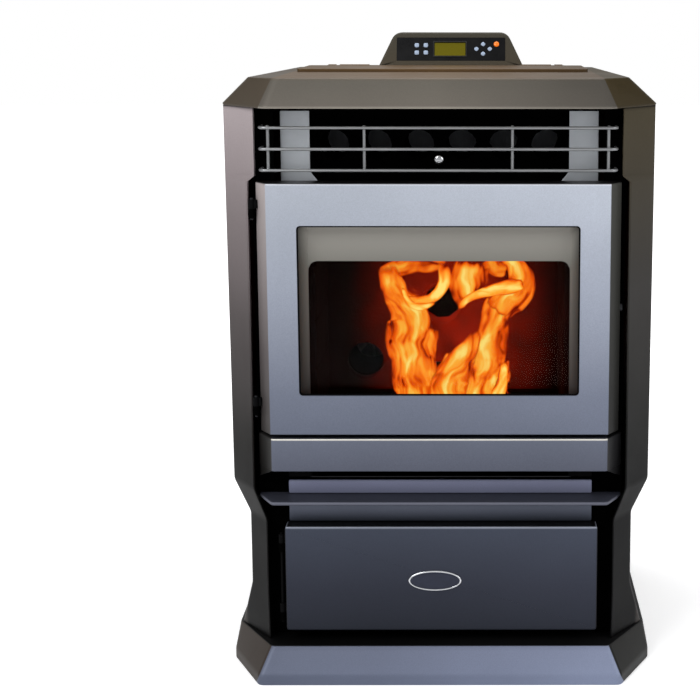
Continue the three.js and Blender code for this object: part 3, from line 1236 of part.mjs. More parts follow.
function roomFan() {
  const x0 = ROOM_FAN_X;
  const x1 = x0 + ROOM_FAN_W;
  const wall = SHEET;
  const r = ROOM_FAN_R;
  const y = ROOM_FAN_Y;
  const z = ROOM_FAN_Z;
  const mouthY = y - ROOM_FAN_OUT_L;
  const outer = join(
    barX(x0, x1, y, z, r, 28),
    box(x0, x1, mouthY, y, z + r - ROOM_FAN_OUT_H, z + r),
  );
  const inner = join(
    barX(x0 + wall, x1 - wall, y, z, r - wall, 28),
    box(x0 + wall, x1 - wall, mouthY - 1, y, z + r - ROOM_FAN_OUT_H + wall, z + r - wall),
  );
  const inlet = barX(x0 - 1, x0 + wall + 1, y, z, ROOM_FAN_INLET_R, 20);
  const shaftHole = barX(x1 - wall - 1, x1 + 1, y, z, FAN_SHAFT_R + RUNNING);
  const foot = box(x0, x1, y - ROOM_FAN_FOOT_HALF_D, y + ROOM_FAN_FOOT_HALF_D,
    DECK_TOP_Z + GAP, z - r + 8);
  piece("room_fan_housing", cut(join(outer, foot), inner, inlet, shaftHole), STEEL);

  const wheelX = x1 - wall - FAN_DISC_CLEAR;
  const wheel = fanWheel(r - wall - FAN_RIM_CLEAR, ROOM_FAN_W - 2 * wall);
  piece("room_fan_impeller", wheel.rotateY(-Math.PI / 2).translate(wheelX, y, z), ALUMINIUM);
  const motorX = x1 + GAP;
  const socket = barX(motorX - 1, wheelX + FAN_SHAFT_L + GAP, y, z, FAN_SHAFT_R + RUNNING);
  piece("room_fan_motor", cut(barX(motorX, motorX + MOTOR_L, y, z, ROOM_MOTOR_R, 28),
    socket), ALUMINIUM);
}

// ---------------------------------------------------------------- air and power inlets
function inlets() {
  const y0 = fireboxBackY + GAP;
  const y1 = BACK_Y + AIR_REACH;
  piece("fresh_air_pipe", cut(barY(y0, y1, AIR_X, AIR_Z, AIR_R, 28),
    barY(y0 - 1, y1 + 1, AIR_X, AIR_Z, AIR_R - SHEET, 28)), BLACK_STEEL);

  const lip = 4;
  const faceY = BACK_Y + GAP;
  const rect = (grow, from, to) => box(INLET_X - INLET_W / 2 - grow,
    INLET_X + INLET_W / 2 + grow, from, to,
    INLET_Z - INLET_H / 2 - grow, INLET_Z + INLET_H / 2 + grow);
  const body = join(rect(0, BACK_Y - 30, faceY + 1), rect(lip, faceY, faceY + 2.5));
  const socket = rect(-lip, BACK_Y - 18, faceY + 5);
  piece("power_inlet", cut(body, socket), PLASTIC);
}

basePlinth();
sidePanels();
rearPanel();
frontFrame();
stoveDeck();
topPlate();
hopperLid();
hopperBin();
consoleUnit();
airOutletGrille();
outletVanes();
heatExchanger();
scraperRod();
doorFrame();
doorInside();
doorLatch();
ashDrawer();
ashShelf();
pedestalDoor();
firebox();
burnPot();
augerFeed();
exhaustFan();
roomFan();
inlets();

export default stove;
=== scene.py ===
"""Looks of a pellet stove on a pedestal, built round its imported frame.

Shapes are worked out in millimetres as whole numpy arrays and turned to metres when a piece
is made. X is to the right, Y to the back, Z up; the origin is under the middle of the stove.
"""
import math

import bmesh
import bpy
import numpy as np
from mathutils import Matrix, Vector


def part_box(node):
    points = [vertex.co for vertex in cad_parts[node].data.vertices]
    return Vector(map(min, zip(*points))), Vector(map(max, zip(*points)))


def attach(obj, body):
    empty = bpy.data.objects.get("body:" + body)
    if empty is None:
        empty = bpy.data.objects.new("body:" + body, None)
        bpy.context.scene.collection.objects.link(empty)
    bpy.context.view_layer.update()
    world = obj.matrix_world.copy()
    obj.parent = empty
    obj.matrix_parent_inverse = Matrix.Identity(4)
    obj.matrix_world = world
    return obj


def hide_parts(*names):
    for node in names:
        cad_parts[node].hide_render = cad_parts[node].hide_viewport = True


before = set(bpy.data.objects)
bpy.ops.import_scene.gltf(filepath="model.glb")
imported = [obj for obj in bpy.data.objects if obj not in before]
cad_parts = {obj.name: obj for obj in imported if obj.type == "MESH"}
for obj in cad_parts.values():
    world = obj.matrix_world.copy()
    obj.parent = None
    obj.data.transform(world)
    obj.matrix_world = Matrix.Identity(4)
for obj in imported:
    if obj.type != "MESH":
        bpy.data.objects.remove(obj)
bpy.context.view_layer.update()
MM = 0.001
TAU = 2 * np.pi
X, Y, Z = np.eye(3)
rng = np.random.default_rng(7)


def cad_box(node):
    """Lowest and highest corner of a node, in millimetres."""
    low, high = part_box(node)
    return np.array(low) / MM, np.array(high) / MM


# ---- shared sizes, millimetres
lid_lo, lid_hi = cad_box("top_plate")
door_lo, door_hi = cad_box("door_frame")
base_lo, base_hi = cad_box("base_plinth")
FACE_Y = door_lo[1]  # front plane of the door
LID_Z = lid_lo[2]
BACK_Y = cad_box("rear_panel")[1][1]
TOP_Z = cad_box("console_housing")[0][2] - 0.3
FRAME_Y = cad_box("ash_shelf")[1][1] + 0.3
SHEET = 2.0


def placed(name, data):
    """New object with its data, linked to the scene."""
    thing = bpy.data.objects.new(name, data)
    bpy.context.scene.collection.objects.link(thing)
    return thing


# ---- camera
def make_camera():
    """Standing a little right of the middle, looking down on the door."""
    data = bpy.data.cameras.new("camera")
    data.lens, data.sensor_width = 86.0212, 36
    data.shift_x, data.shift_y = -0.205468, -0.0561178
    data.clip_start, data.clip_end = 0.05, 60
    camera = placed("camera", data)
    camera.location = (0.05865, -2.355, 0.86459)
    camera.rotation_euler = (1.3963019, -0.0010652, -0.0052869)
    bpy.context.scene.camera = camera


make_camera()


# ---- surface helpers
class Skin:
    """Points and faces of one piece, gathered from grids, strips and caps."""

    def __init__(self):
        self.points, self.uvs, self.flows, self.faces, self.count = [], [], [], [], 0

    def add(self, points, uv=None, flow=None):
        """Takes an array of points of any shape and returns their numbers in that shape. uv
        and flow are two maps of the surface, the second one in metres."""
        points = np.asarray(points, float)
        shape = points.shape[:-1]
        total = int(np.prod(shape))
        self.points.append(points.reshape(-1, 3))
        for kept, given in ((self.uvs, uv), (self.flows, flow)):
            values = np.zeros(2) if given is None else given
            kept.append(np.broadcast_to(values, shape + (2,)).reshape(-1, 2))
        first = self.count
        self.count += total
        return np.arange(first, first + total).reshape(shape)

    def quads(self, ids, keep=None):
        """Faces between the neighbours of a grid of point numbers; keep masks the cells."""
        cells = np.stack([ids[:-1, :-1], ids[1:, :-1], ids[1:, 1:], ids[:-1, 1:]], -1)
        if keep is not None:
            cells = cells[keep]
        self.faces += cells.reshape(-1, 4).tolist()

    def wrap(self, ids):
        """Faces between the rows of a grid of point numbers, each row a closed ring."""
        self.quads(np.concatenate([ids, ids[:, :1]], 1))

    def ring_stack(self, rings, caps=True, loop=False, uv=None, flow=None):
        """Closed rings (m, n, 3) joined one to the next, with a cap on each end; loop joins
        the last ring to the first instead. The UV map runs once round and once along."""
        rings = np.asarray(rings, float)
        if uv is None:
            v = np.linspace(0, 1, rings.shape[0])[:, None]
            u = np.linspace(0, 1, rings.shape[1])[None, :]
            uv = np.stack(np.broadcast_arrays(u, v), -1)
        ids = self.add(rings, uv, flow)
        self.wrap(np.concatenate([ids, ids[:1]]) if loop else ids)
        if caps and not loop:
            self.faces += [ids[0].tolist(), ids[-1].tolist()]


def border(grid):
    """Points or point numbers on the edge of a grid, once round."""
    return np.concatenate([grid[:, 0], grid[-1, 1:], grid[-2::-1, -1], grid[0, -2:0:-1]])


def unit(v):
    """Vectors at length one."""
    v = np.asarray(v, float)
    return v / np.maximum(np.linalg.norm(v, axis=-1, keepdims=True), 1e-12)


def soften(path, radius, steps, closed=False):
    """Path of points, or of whole rings, along axis 0, with each corner turned into the
    quadratic curve that leaves the corner's two edges `radius` before and after it. One more
    point a little way out on each edge keeps the flats beside the curve flat."""
    path = np.asarray(path, float)
    before = np.roll(path, 1, 0) - path
    after = np.roll(path, -1, 0) - path
    length_b = np.linalg.norm(before, axis=-1, keepdims=True)
    length_a = np.linalg.norm(after, axis=-1, keepdims=True)
    radius = np.asarray(radius, float)
    if radius.ndim:
        radius = radius.reshape((-1,) + (1,) * (path.ndim - 1))
    reach = np.minimum(radius, 0.42 * np.minimum(length_b, length_a))
    hold = reach * 1.12
    start = path + unit(before) * reach
    end = path + unit(after) * reach
    t = np.linspace(0, 1, steps + 1).reshape((1, -1) + (1,) * (path.ndim - 1))
    bend = (1 - t) ** 2 * start[:, None] + 2 * t * (1 - t) * path[:, None] + t ** 2 * end[:, None]
    first = (path + unit(before) * hold)[:, None]
    last = (path + unit(after) * hold)[:, None]
    curve = np.concatenate([first, bend, last], 1)
    if closed:
        return curve.reshape((-1,) + path.shape[1:])
    inner = curve[1:-1].reshape((-1,) + path.shape[1:])
    return np.concatenate([path[:1], inner, path[-1:]])


def drawn_in(ring, distance, up):
    """Closed flat ring with each point moved inwards by `distance`, square to the ring's own
    direction there and to `up`."""
    along = np.roll(ring, -1, 0) - np.roll(ring, 1, 0)
    inward = unit(np.cross(up, along))
    middle = ring.mean(0)
    outward = np.sum(inward * (ring - middle)) > 0
    return ring - inward * distance if outward else ring + inward * distance


def plate(skin, outline, up, height, edge, steps):
    """Closed plate: the outline carried along `up`, both rims rounded over. At angle a of a
    rim the ring is drawn in by edge (1 - sin a), at a height edge (1 - cos a)."""
    a = np.linspace(0, np.pi / 2, steps + 1)
    inset = np.r_[edge + 0.5, edge * (1 - np.sin(a))]
    rise = np.r_[0, edge * (1 - np.cos(a))]
    low = [drawn_in(outline, i, up) + up * h for i, h in zip(inset, rise)]
    high = [drawn_in(outline, i, up) + up * (height - h) for i, h in zip(inset, rise)]
    skin.ring_stack(low + high[::-1])


def tube(skin, path, radius, sides, up=Z):
    """Round rod along a path: at each point a circle in the plane across the path, whose
    first direction lies as near to `up` as it can. Flat ends."""
    path = np.asarray(path, float)
    along = unit(np.gradient(path, axis=0))
    side = unit(np.cross(along, up))
    rise = np.cross(side, along)
    c, s = (part[:, None] for part in circle(sides))
    skin.ring_stack(path[:, None] + radius * (side[:, None] * c + rise[:, None] * s))


def circle(turns):
    """Cosines and sines of evenly spaced angles, once round, starting at 0."""
    a = np.linspace(0, TAU, turns, endpoint=False)
    return np.cos(a), np.sin(a)


def lathe(skin, profile, origin, axis, sides, loop=False):
    """Profile of (radius, distance along the axis) pairs turned round the axis X, Y or Z;
    loop closes the profile."""
    profile = np.asarray(profile, float)
    first = unit(np.cross(axis, X if axis is Z else Z))
    second = np.cross(axis, first)
    c, s = (part[:, None] for part in circle(sides))
    radius, along = profile[:, 0, None, None], profile[:, 1, None, None]
    skin.ring_stack(origin + axis * along + radius * (first * c + second * s), loop=loop)


def frontal(pairs, y):
    """(x, z) pairs at a depth y, as points."""
    pairs = np.asarray(pairs, float)
    return np.stack([pairs[..., 0], np.broadcast_to(y, pairs.shape[:-1]), pairs[..., 1]], -1)


def level(pairs, z):
    """(x, y) pairs at a height z, as points."""
    pairs = np.asarray(pairs, float)
    return np.stack([pairs[..., 0], pairs[..., 1], np.broadcast_to(z, pairs.shape[:-1])], -1)


def rect(x0, x1, z0, z1):
    """Corners of a rectangle, anticlockwise."""
    return np.array([(x0, z0), (x1, z0), (x1, z1), (x0, z1)], float)


def frame_rings(box, section, radius, steps=5):
    """Rings of a frame round a box (x0, x1, z0, z1): at each (growth, y) of its section the
    box grown by that much, its corners softened."""
    x0, x1, z0, z1 = box
    return [soften(frontal(rect(x0 - g, x1 + g, z0 - g, z1 + g), y), radius, steps, closed=True)
            for g, y in section]


def both_sides(half):
    """Outline from its right half, front to back, and the mirror image of that half."""
    half = np.asarray(half, float)
    return np.concatenate([half, (half * [-1, 1])[::-1]])


def merged_mesh(name, skin):
    """Mesh of a skin in metres, its doubles merged and its faces turned outwards."""
    same_point = 2e-6
    mesh = bpy.data.meshes.new(name)
    points = np.concatenate(skin.points) * MM
    mesh.from_pydata(points.tolist(), [], skin.faces)
    corner = np.zeros(len(mesh.loops), np.int32)
    mesh.loops.foreach_get("vertex_index", corner)
    for layer_name, parts in (("UVMap", skin.uvs), ("flow", skin.flows)):
        values = np.concatenate(parts)
        if layer_name == "UVMap" or values.any():
            layer = mesh.uv_layers.new(name=layer_name)
            layer.data.foreach_set("uv", values[corner].astype(np.float32).ravel())
    work = bmesh.new()
    work.from_mesh(mesh)
    bmesh.ops.remove_doubles(work, verts=work.verts, dist=same_point)
    bmesh.ops.recalc_face_normals(work, faces=work.faces)
    work.to_mesh(mesh)
    work.free()
    mesh.shade_smooth()
    return mesh


def make(name, skin, material, body, slot, stands_for=(), sharp=38, wall=0, rim=0):
    """Piece from a skin: its finish, the body it rides on and the nodes it stands for. An
    edge that turns by more than `sharp` degrees stays crisp. `wall` thickens an open skin
    inwards and `rim` rounds its crisp edges, both in millimetres."""
    mesh = merged_mesh(name, skin)
    mesh.set_sharp_from_angle(angle=math.radians(sharp))
    mesh.materials.append(material)
    piece = placed(name, mesh)
    if wall:
        thick = piece.modifiers.new("wall", "SOLIDIFY")
        thick.thickness = wall * MM
        thick.offset = -1
        thick.use_even_offset = True
    if rim:
        round_off = piece.modifiers.new("rim", "BEVEL")
        round_off.width = rim * MM
        round_off.segments = 2
        round_off.limit_method = "ANGLE"
        round_off.angle_limit = math.radians(sharp)
        round_off.harden_normals = True
    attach(piece, body)
    if stands_for:
        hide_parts(*stands_for)


def ring_piece(name, rings, material, body, slot, stands_for=(), loop=False, **options):
    """Piece made of one stack of closed rings."""
    skin = Skin()
    skin.ring_stack(rings, loop=loop)
    make(name, skin, material, body, slot, stands_for, **options)


def plate_piece(name, outline, up, size, material, body, slot, stands_for=()):
    """Piece made of one plate, its size given as (height, edge, steps)."""
    skin = Skin()
    plate(skin, outline, up, *size)
    make(name, skin, material, body, slot, stands_for)


def finish_nodes(material, *nodes):
    """Gives CAD nodes a finish."""
    for node in nodes:
        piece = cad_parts[node]
        piece.data.materials.clear()
        piece.data.materials.append(material)


# ---- finishes
def srgb(red, green, blue):
    """Linear colour of an sRGB colour given from 0 to 255."""
    v = np.array([red, green, blue]) / 255
    linear = np.where(v <= 0.04045, v / 12.92, ((v + 0.055) / 1.055) ** 2.4)
    return (*linear.tolist(), 1.0)


class Finish:
    """Material put together node by node round its Principled shader."""

    def __init__(self, name, **sockets):
        self.material = bpy.data.materials.new(name)
        self.material.use_nodes = True
        self.tree = self.material.node_tree
        self.shader = self.tree.nodes["Principled BSDF"]
        self.set(**sockets)
        self.place = self.node("TexCoord", out="Object")

    def put(self, socket, value):
        """Gives a socket a constant, or links it to the output of a node."""
        if isinstance(value, bpy.types.NodeSocket):
            self.tree.links.new(value, socket)
        else:
            socket.default_value = value

    def set(self, **sockets):
        """Sets the shader's sockets, written with _ for a space."""
        for name, value in sockets.items():
            self.put(self.shader.inputs[name.replace("_", " ")], value)

    def node(self, kind, inputs=(), out=0, **settings):
        """Output of a new shader node, with its settings and its inputs by name or number."""
        node = self.tree.nodes.new("ShaderNode" + kind)
        for name, value in settings.items():
            setattr(node, name, value)
        for name, value in dict(inputs).items():
            self.put(node.inputs[name], value)
        return node.outputs[out]

    def vector(self, operation, a, b=(0, 0, 0)):
        """One step of arithmetic on coordinates."""
        return self.node("VectorMath", {0: a, 1: b}, operation=operation)

    def length(self, a):
        """Distance from the origin."""
        return self.node("VectorMath", {0: a}, 1, operation="LENGTH")

    def noise(self, scale, detail=2, stretch=None, place=None, rough=0.5):
        """Cloudy noise from 0 to 1, `scale` features in a metre."""
        where = place or self.place
        if stretch:
            where = self.vector("MULTIPLY", where, stretch)
        return self.node("TexNoise", {"Vector": where, "Scale": scale, "Detail": detail,
                                      "Roughness": rough})

    def axis(self, letter, place=None):
        """One coordinate, in metres on the object."""
        return self.node("SeparateXYZ", {0: place or self.place}, letter)

    def span(self, value, low, high, to_low=0.0, to_high=1.0, smooth=False):
        """Value carried from low..high to to_low..to_high, and held at the ends."""
        kind = "SMOOTHSTEP" if smooth else "LINEAR"
        return self.node("MapRange", {0: value, 1: low, 2: high, 3: to_low, 4: to_high},
                         interpolation_type=kind)

    def clouds(self, scale, detail, low, high):
        """Noise whose middle part runs from low to high."""
        return self.span(self.noise(scale, detail), 0.3, 0.7, low, high)

    def math(self, operation, a, b=0.0):
        """One step of arithmetic."""
        return self.node("Math", {0: a, 1: b}, operation=operation)

    def plus(self, a, b):
        """Sum of two values."""
        return self.math("ADD", a, b)

    def times(self, a, b):
        """Product of two values."""
        return self.math("MULTIPLY", a, b)

    def mix(self, factor, a, b, blend="MIX"):
        """Colour between a and b."""
        return self.node("Mix", {0: factor, 6: a, 7: b}, 2, data_type="RGBA", blend_type=blend)

    def shade(self, colour, level):
        """Colour made lighter or darker by a level."""
        return self.mix(1.0, colour, level, "MULTIPLY")

    def ramp(self, value, stops):
        """Colour read off a list of (place, colour) stops."""
        read = self.node("ValToRGB", {0: value})
        marks = read.node.color_ramp.elements
        for place, colour in stops[1:-1]:
            marks.new(place).color = colour
        marks[0].position, marks[0].color = stops[0]
        marks[-1].position, marks[-1].color = stops[-1]
        return read

    def by_height(self, stops):
        """Colour that changes with the height: stops of (mm above the floor, red, green,
        blue)."""
        low, high = stops[0][0], stops[-1][0]
        rise = self.span(self.axis("Z"), low * MM, high * MM)
        return self.ramp(rise, [((z - low) / (high - low), srgb(*rgb)) for z, *rgb in stops])

    def bump(self, height, strength, distance):
        """Small relief from a height, `distance` metres deep at strength 1."""
        self.set(Normal=self.node("Bump", {"Height": height, "Strength": strength,
                                           "Distance": distance}))


EVEN = (1, 1, 1)
PAINT_EDGE = 0.22  # half width over which a paint's painted light changes from side to side, in metres
FLANK_START, FLANK_END = -0.182, -0.172  # where the front bevels end, in metres


def paint(name, stops, sides=None, middle=0.0, across=EVEN, flank=None, metallic=0.25,
          roughness=0.42, shine=0.25):
    """Sprayed metallic paint whose colour holds painted light and shade. Its colour follows the
    height, which carries painted light: lighter and darker bands, painted highlights along edges
    and painted shadows on returns. A fine flake shifts its brightness by a few percent, clouds
    its gloss, and orange peel its surface. `sides` gives the half width in mm past which the
    bevelled ends begin, counted from `middle`, how far that moves out for each mm of height, and
    the stops of the left and the right end, which paint those ends lit or shaded. `across` gives
    the painted brightness at the left, in the middle and at the right, and `flank` the one
    colour of all that lies behind the front bevels."""
    finish = Finish(name, Metallic=metallic, Specular_IOR_Level=shine)
    tint = finish.by_height(stops)
    width = finish.axis("X")
    if across != EVEN:
        left_level = finish.span(width, -PAINT_EDGE, 0, across[0], across[1])
        right_level = finish.span(width, 0, PAINT_EDGE, 1, across[2] / across[1])
        tint = finish.shade(tint, finish.times(left_level, right_level))
    if sides:
        start, slope, left, right = sides
        blur, centre = 0.4, 0.01
        off = finish.math("ABSOLUTE", finish.math("SUBTRACT", width, middle * MM))
        fold = finish.plus(off, finish.times(finish.axis("Z"), slope))
        end = finish.span(fold, (start - blur) * MM, (start + blur) * MM)
        end_colour = finish.mix(finish.span(width, -centre, centre), finish.by_height(left),
                                finish.by_height(right))
        tint = finish.mix(end, tint, end_colour)
    if flank:
        behind = finish.span(finish.axis("Y"), FLANK_START, FLANK_END, smooth=True)
        tint = finish.mix(behind, tint, flank)
    level = finish.times(finish.clouds(900, 1, 0.94, 1.06), finish.clouds(7, 3, 0.96, 1.04))
    finish.set(Base_Color=finish.shade(tint, level))
    finish.set(Roughness=finish.clouds(11, 4, roughness - 0.05, roughness + 0.05))
    finish.bump(finish.noise(420, 2), 0.03, 0.0006)
    return finish.material


def bare_metal(name, colour, roughness=0.3, metallic=1.0, stretch=(1, 30, 30), grain=90,
               depth=0.1):
    """Bare metal with fine lines drawn along one axis and faint cloudy stains."""
    finish = Finish(name, Metallic=metallic)
    lines = finish.noise(grain, 3, stretch)
    stain = finish.span(finish.noise(14, 4), 0.35, 0.7, 0.86, 1.04)
    finish.set(Base_Color=finish.shade(colour, stain))
    finish.set(Roughness=finish.span(lines, 0.3, 0.7, roughness * 0.8, roughness * 1.3))
    finish.bump(lines, depth, 0.0003)
    return finish.material


def iron_finish():
    """Sand-cast iron under matt black: pitted skin, greyer where it is worn."""
    finish = Finish("cast_iron", Metallic=0.2, Specular_IOR_Level=0.15)
    pits = finish.noise(380, 5, rough=0.6)
    wear = finish.span(finish.noise(22, 5), 0.4, 0.75, 0.85, 1.3)
    finish.set(Base_Color=finish.shade(srgb(16, 15, 15), wear))
    finish.set(Roughness=finish.span(pits, 0.3, 0.7, 0.53, 0.77))
    finish.bump(pits, 0.3, 0.0008)
    return finish.material


def brick_finish():
    """Fire brick blackened by soot: dark red-brown, patchy, with a coarse grain. A painted red
    glow of firelight is strongest behind the fire and fades with the distance from it."""
    fire_place, reach = (0.02, -0.1, 0.45), (8.5, 0, 5)
    finish = Finish("soot_brick", Roughness=0.95, Specular_IOR_Level=0.05)
    soot = finish.noise(9, 5, rough=0.6)
    finish.set(Base_Color=finish.ramp(soot, [(0.3, srgb(3, 1, 1)), (0.55, srgb(8, 2, 1)),
                                             (0.8, srgb(20, 5, 3))]))
    from_fire = finish.vector("MULTIPLY", finish.vector("SUBTRACT", finish.place, fire_place),
                              reach)
    painted_firelight = finish.span(finish.length(from_fire), 0.0, 1.35, 0.34, 0.001, smooth=True)
    # Painted firelight from the flames, as a red glow on the bricks.
    finish.set(Emission_Color=(1.0, 0.035, 0.006, 1.0))
    finish.set(Emission_Strength=finish.times(painted_firelight, finish.clouds(28, 4, 0.45, 1.4)))
    finish.bump(finish.noise(300, 5), 0.45, 0.001)
    return finish.material


def gloss_plastic(name, colour, roughness, shine=0.3):
    """Moulded plastic with a faint grain."""
    finish = Finish(name, Base_Color=colour, Specular_IOR_Level=shine)
    finish.set(Roughness=finish.clouds(60, 3, roughness * 0.85, roughness * 1.2))
    finish.bump(finish.noise(1200, 1), 0.02, 0.0003)
    return finish.material


def clear_glass():
    """Door glass: smoked a little, with so little shine that the fire box behind it stays
    black over a white floor."""
    finish = Finish("door_glass_smoked", Transmission_Weight=1.0, IOR=1.1)
    smear = finish.noise(9, 4)
    finish.set(Base_Color=finish.mix(smear, srgb(212, 208, 204), srgb(204, 198, 192)))
    finish.set(Roughness=finish.span(smear, 0.3, 0.7, 0.005, 0.02))
    return finish.material


# Colours of the fire from its dying rim to its hottest veins.
FIRE_RAMP = [(0.0, (0.08, 0.002, 0.0, 1)), (0.2, (0.34, 0.014, 0.0, 1)),
             (0.38, (0.78, 0.09, 0.002, 1)), (0.56, (1.0, 0.24, 0.012, 1)),
             (0.78, (1.0, 0.46, 0.045, 1)), (1.0, (1.0, 0.78, 0.2, 1))]


def flame_finish(name, strength, heat_shift=0.0):
    """Burning gas. The UV map goes across the flame and along it, from 0 to 1; the flow map
    does so in metres. The core, 1 - |off|^2.4, is warm and cools at both ends. Bent threads
    of noise along the flow raise or lower its heat; colour and cover follow the heat, so the
    rim breaks up into wisps."""
    finish = Finish(name, Base_Color=srgb(0, 0, 0), Roughness=1.0, Specular_IOR_Level=0.0,
                    Emission_Strength=strength)
    uv, flow = finish.node("UVMap", uv_map="UVMap"), finish.node("UVMap", uv_map="flow")
    sway = finish.span(finish.noise(26, 1, place=flow), 0, 1, -0.013, 0.013)
    lift = finish.span(finish.noise(41, 1, place=flow), 0, 1, -0.02, 0.02)
    bent_flow = finish.vector("ADD", flow, finish.node("CombineXYZ", {0: sway, 1: lift}))
    broad = finish.noise(72, 2, (1, 0.3, 1), place=bent_flow)
    fine = finish.noise(210, 2, (1, 0.2, 1), place=bent_flow, rough=0.55)
    across, along = finish.axis("X", uv), finish.axis("Y", uv)
    off = finish.math("ABSOLUTE", finish.math("SUBTRACT", finish.times(across, 2.0), 1.0))
    core = finish.math("SUBTRACT", 1.0, finish.math("POWER", off, 2.4))
    foot = finish.span(along, 0.0, 0.07, smooth=True)
    tip = finish.span(along, 1.0, 0.84, smooth=True)
    body = finish.times(core, finish.times(foot, tip))
    heat = finish.plus(finish.times(body, 0.6), 0.07 + heat_shift)
    heat = finish.plus(heat, finish.span(broad, 0.28, 0.72, -0.4, 0.4))
    heat = finish.plus(heat, finish.span(fine, 0.3, 0.7, -0.1, 0.1))
    finish.set(Emission_Color=finish.ramp(heat, FIRE_RAMP))
    cover = finish.span(heat, 0.1, 0.38, smooth=True)
    finish.set(Alpha=finish.times(cover, finish.span(body, 0.0, 0.3, smooth=True)))
    return finish.material


def lining_finish():
    """Window lining in sprayed paint whose colour holds painted shade: dark at the door's face,
    lighter towards the glass, and lighter towards the top.
    """
    face_y, glass_y = -0.2517, -0.234
    finish = Finish("window_lining", Metallic=0.1, Specular_IOR_Level=0.2, Roughness=0.42)
    # Painted light: lighter towards the top.
    tint = finish.by_height([(380, 42, 42, 44), (392, 70, 70, 70), (443, 86, 86, 84),
                             (507, 106, 104, 100), (552, 118, 116, 110), (603, 160, 157, 150)])
    # Painted shade, darkest at the door's face.
    depth = finish.span(finish.axis("Y"), face_y, glass_y, 0.14, 1.0)
    finish.set(Base_Color=finish.shade(tint, depth))
    finish.bump(finish.noise(420, 2), 0.03, 0.0006)
    return finish.material


def crossed(finish, a, b, per_metre):
    """Product of the sines of two coordinates, from -1 to 1."""
    one, other = (finish.math("SINE", finish.times(value, per_metre)) for value in (a, b))
    return finish.times(one, other)


def rope_finish():
    """Braided fibre rope: two sines that slant across each other."""
    strands = 2600.0
    finish = Finish("fibre_rope", Roughness=0.95)
    x, z = finish.axis("X"), finish.axis("Z")
    weave = crossed(finish, finish.plus(x, z), finish.math("SUBTRACT", x, z), strands)
    finish.set(Base_Color=finish.ramp(finish.span(weave, -1.0, 1.0),
                                      [(0, srgb(38, 37, 35)), (1, srgb(92, 90, 86))]))
    finish.bump(weave, 0.5, 0.0008)
    return finish.material


def screen_finish():
    """Unlit olive display with faint rows of dots, brightened by a faint painted glow."""
    rows = 4200.0
    finish = Finish("olive_display", Roughness=0.35, Specular_IOR_Level=0.1)
    dots = finish.span(crossed(finish, finish.axis("Z"), finish.axis("X"), rows), -1.0, 1.0)
    finish.set(Base_Color=finish.mix(dots, srgb(84, 77, 2), srgb(98, 91, 4)))
    # Painted glow: the display has no light of its own.
    finish.set(Emission_Color=srgb(120, 112, 4), Emission_Strength=0.08)
    return finish.material


def clouded(name, scale, detail, one, other, **sockets):
    """Finish that drifts between two close colours."""
    finish = Finish(name, **sockets)
    finish.set(Base_Color=finish.mix(finish.noise(scale, detail), one, other))
    return finish.material


def board_finish():
    """Green circuit board with pale copper tracks."""
    finish = Finish("green_board", Roughness=0.45)
    tracks = finish.noise(160, 1, (1, 1, 4))
    finish.set(Base_Color=finish.ramp(tracks, [(0.5, srgb(16, 66, 38)),
                                               (0.54, srgb(58, 122, 72))]))
    return finish.material


def between(low, high, *rgb):
    """Stops of one colour from one height to another."""
    return [(low, *rgb), (high, *rgb)]


# Painted light and shade on the door: lighter towards the top, a painted highlight along the top
# edge, painted shade on the top and bottom returns, the left bevel lit and the right one shaded,
# and brighter to the right.
door_paint = paint(
    "door_silver",
    [(331.1, 20, 20, 22), (332, 97, 103, 119), (383, 108, 114, 130), (520, 150, 156, 170),
     (654, 174, 180, 191), *between(655, 656, 206, 210, 218), (656.4, 14, 14, 15)],
    sides=(218.2, 0,
           [(331.1, 20, 20, 20), (332, 60, 57, 56), (440, 94, 88, 88), (510, 126, 119, 119),
            (580, 154, 146, 146), (655.5, 180, 171, 170), (656.4, 14, 14, 15)],
           [(331.1, 20, 20, 20), (332, 36, 36, 35), (655.5, 70, 70, 66), (656.4, 14, 14, 15)]),
    across=(0.98, 1.06, 1.2))
# Painted light and shade on the drawer's bar: darker towards the bottom, a painted highlight
# along the top front edge, a darker top, and both bevelled ends in painted shade.
bar_paint = paint(
    "drawer_grey",
    [(267, 50, 52, 62), (284, 84, 88, 102), (323.4, 98, 103, 118),
     *between(324.6, 325.6, 222, 219, 210), (326, 74, 77, 88)],
    sides=(217.6, 0, [(267, 30, 29, 28), (326, 50, 49, 48)],
           [(267, 26, 26, 27), (326, 40, 40, 42)]))
# Painted light and shade on the pedestal door: its ends in painted shade, its face darker towards
# the bottom with a painted highlight along the top edge, a dark top return as painted shade, and
# brighter to the right.
cupboard_end_shade = [(61.5, 22, 22, 25), (204.5, 30, 31, 36)]
cupboard_paint = paint(
    "cupboard_grey",
    [(61.5, 30, 32, 38), (63, 39, 42, 51), (120, 47, 50, 61), (201, 61, 66, 79),
     *between(203, 204, 136, 141, 154), (204.4, 16, 16, 18)],
    sides=(204.4, 0, cupboard_end_shade, cupboard_end_shade), middle=1.5, across=(0.94, 1.0, 1.2),
    shine=0.15)
# Painted light and shade on the base: its top ledge black as painted shadow, the left bevel lit
# and the right one shaded, and brighter to the right.
base_top_shadow = (46.7, 10, 10, 11)
base_paint = paint(
    "base_grey", [(0, 110, 118, 140), (40, 108, 115, 136), (46, 102, 108, 128), base_top_shadow],
    sides=(242.6, 0.44, [*between(0, 46, 56, 48, 42), base_top_shadow],
           [*between(0, 46, 26, 26, 24), base_top_shadow]),
    across=(0.69, 1.0, 1.48))
flank_colour = srgb(66, 62, 60)
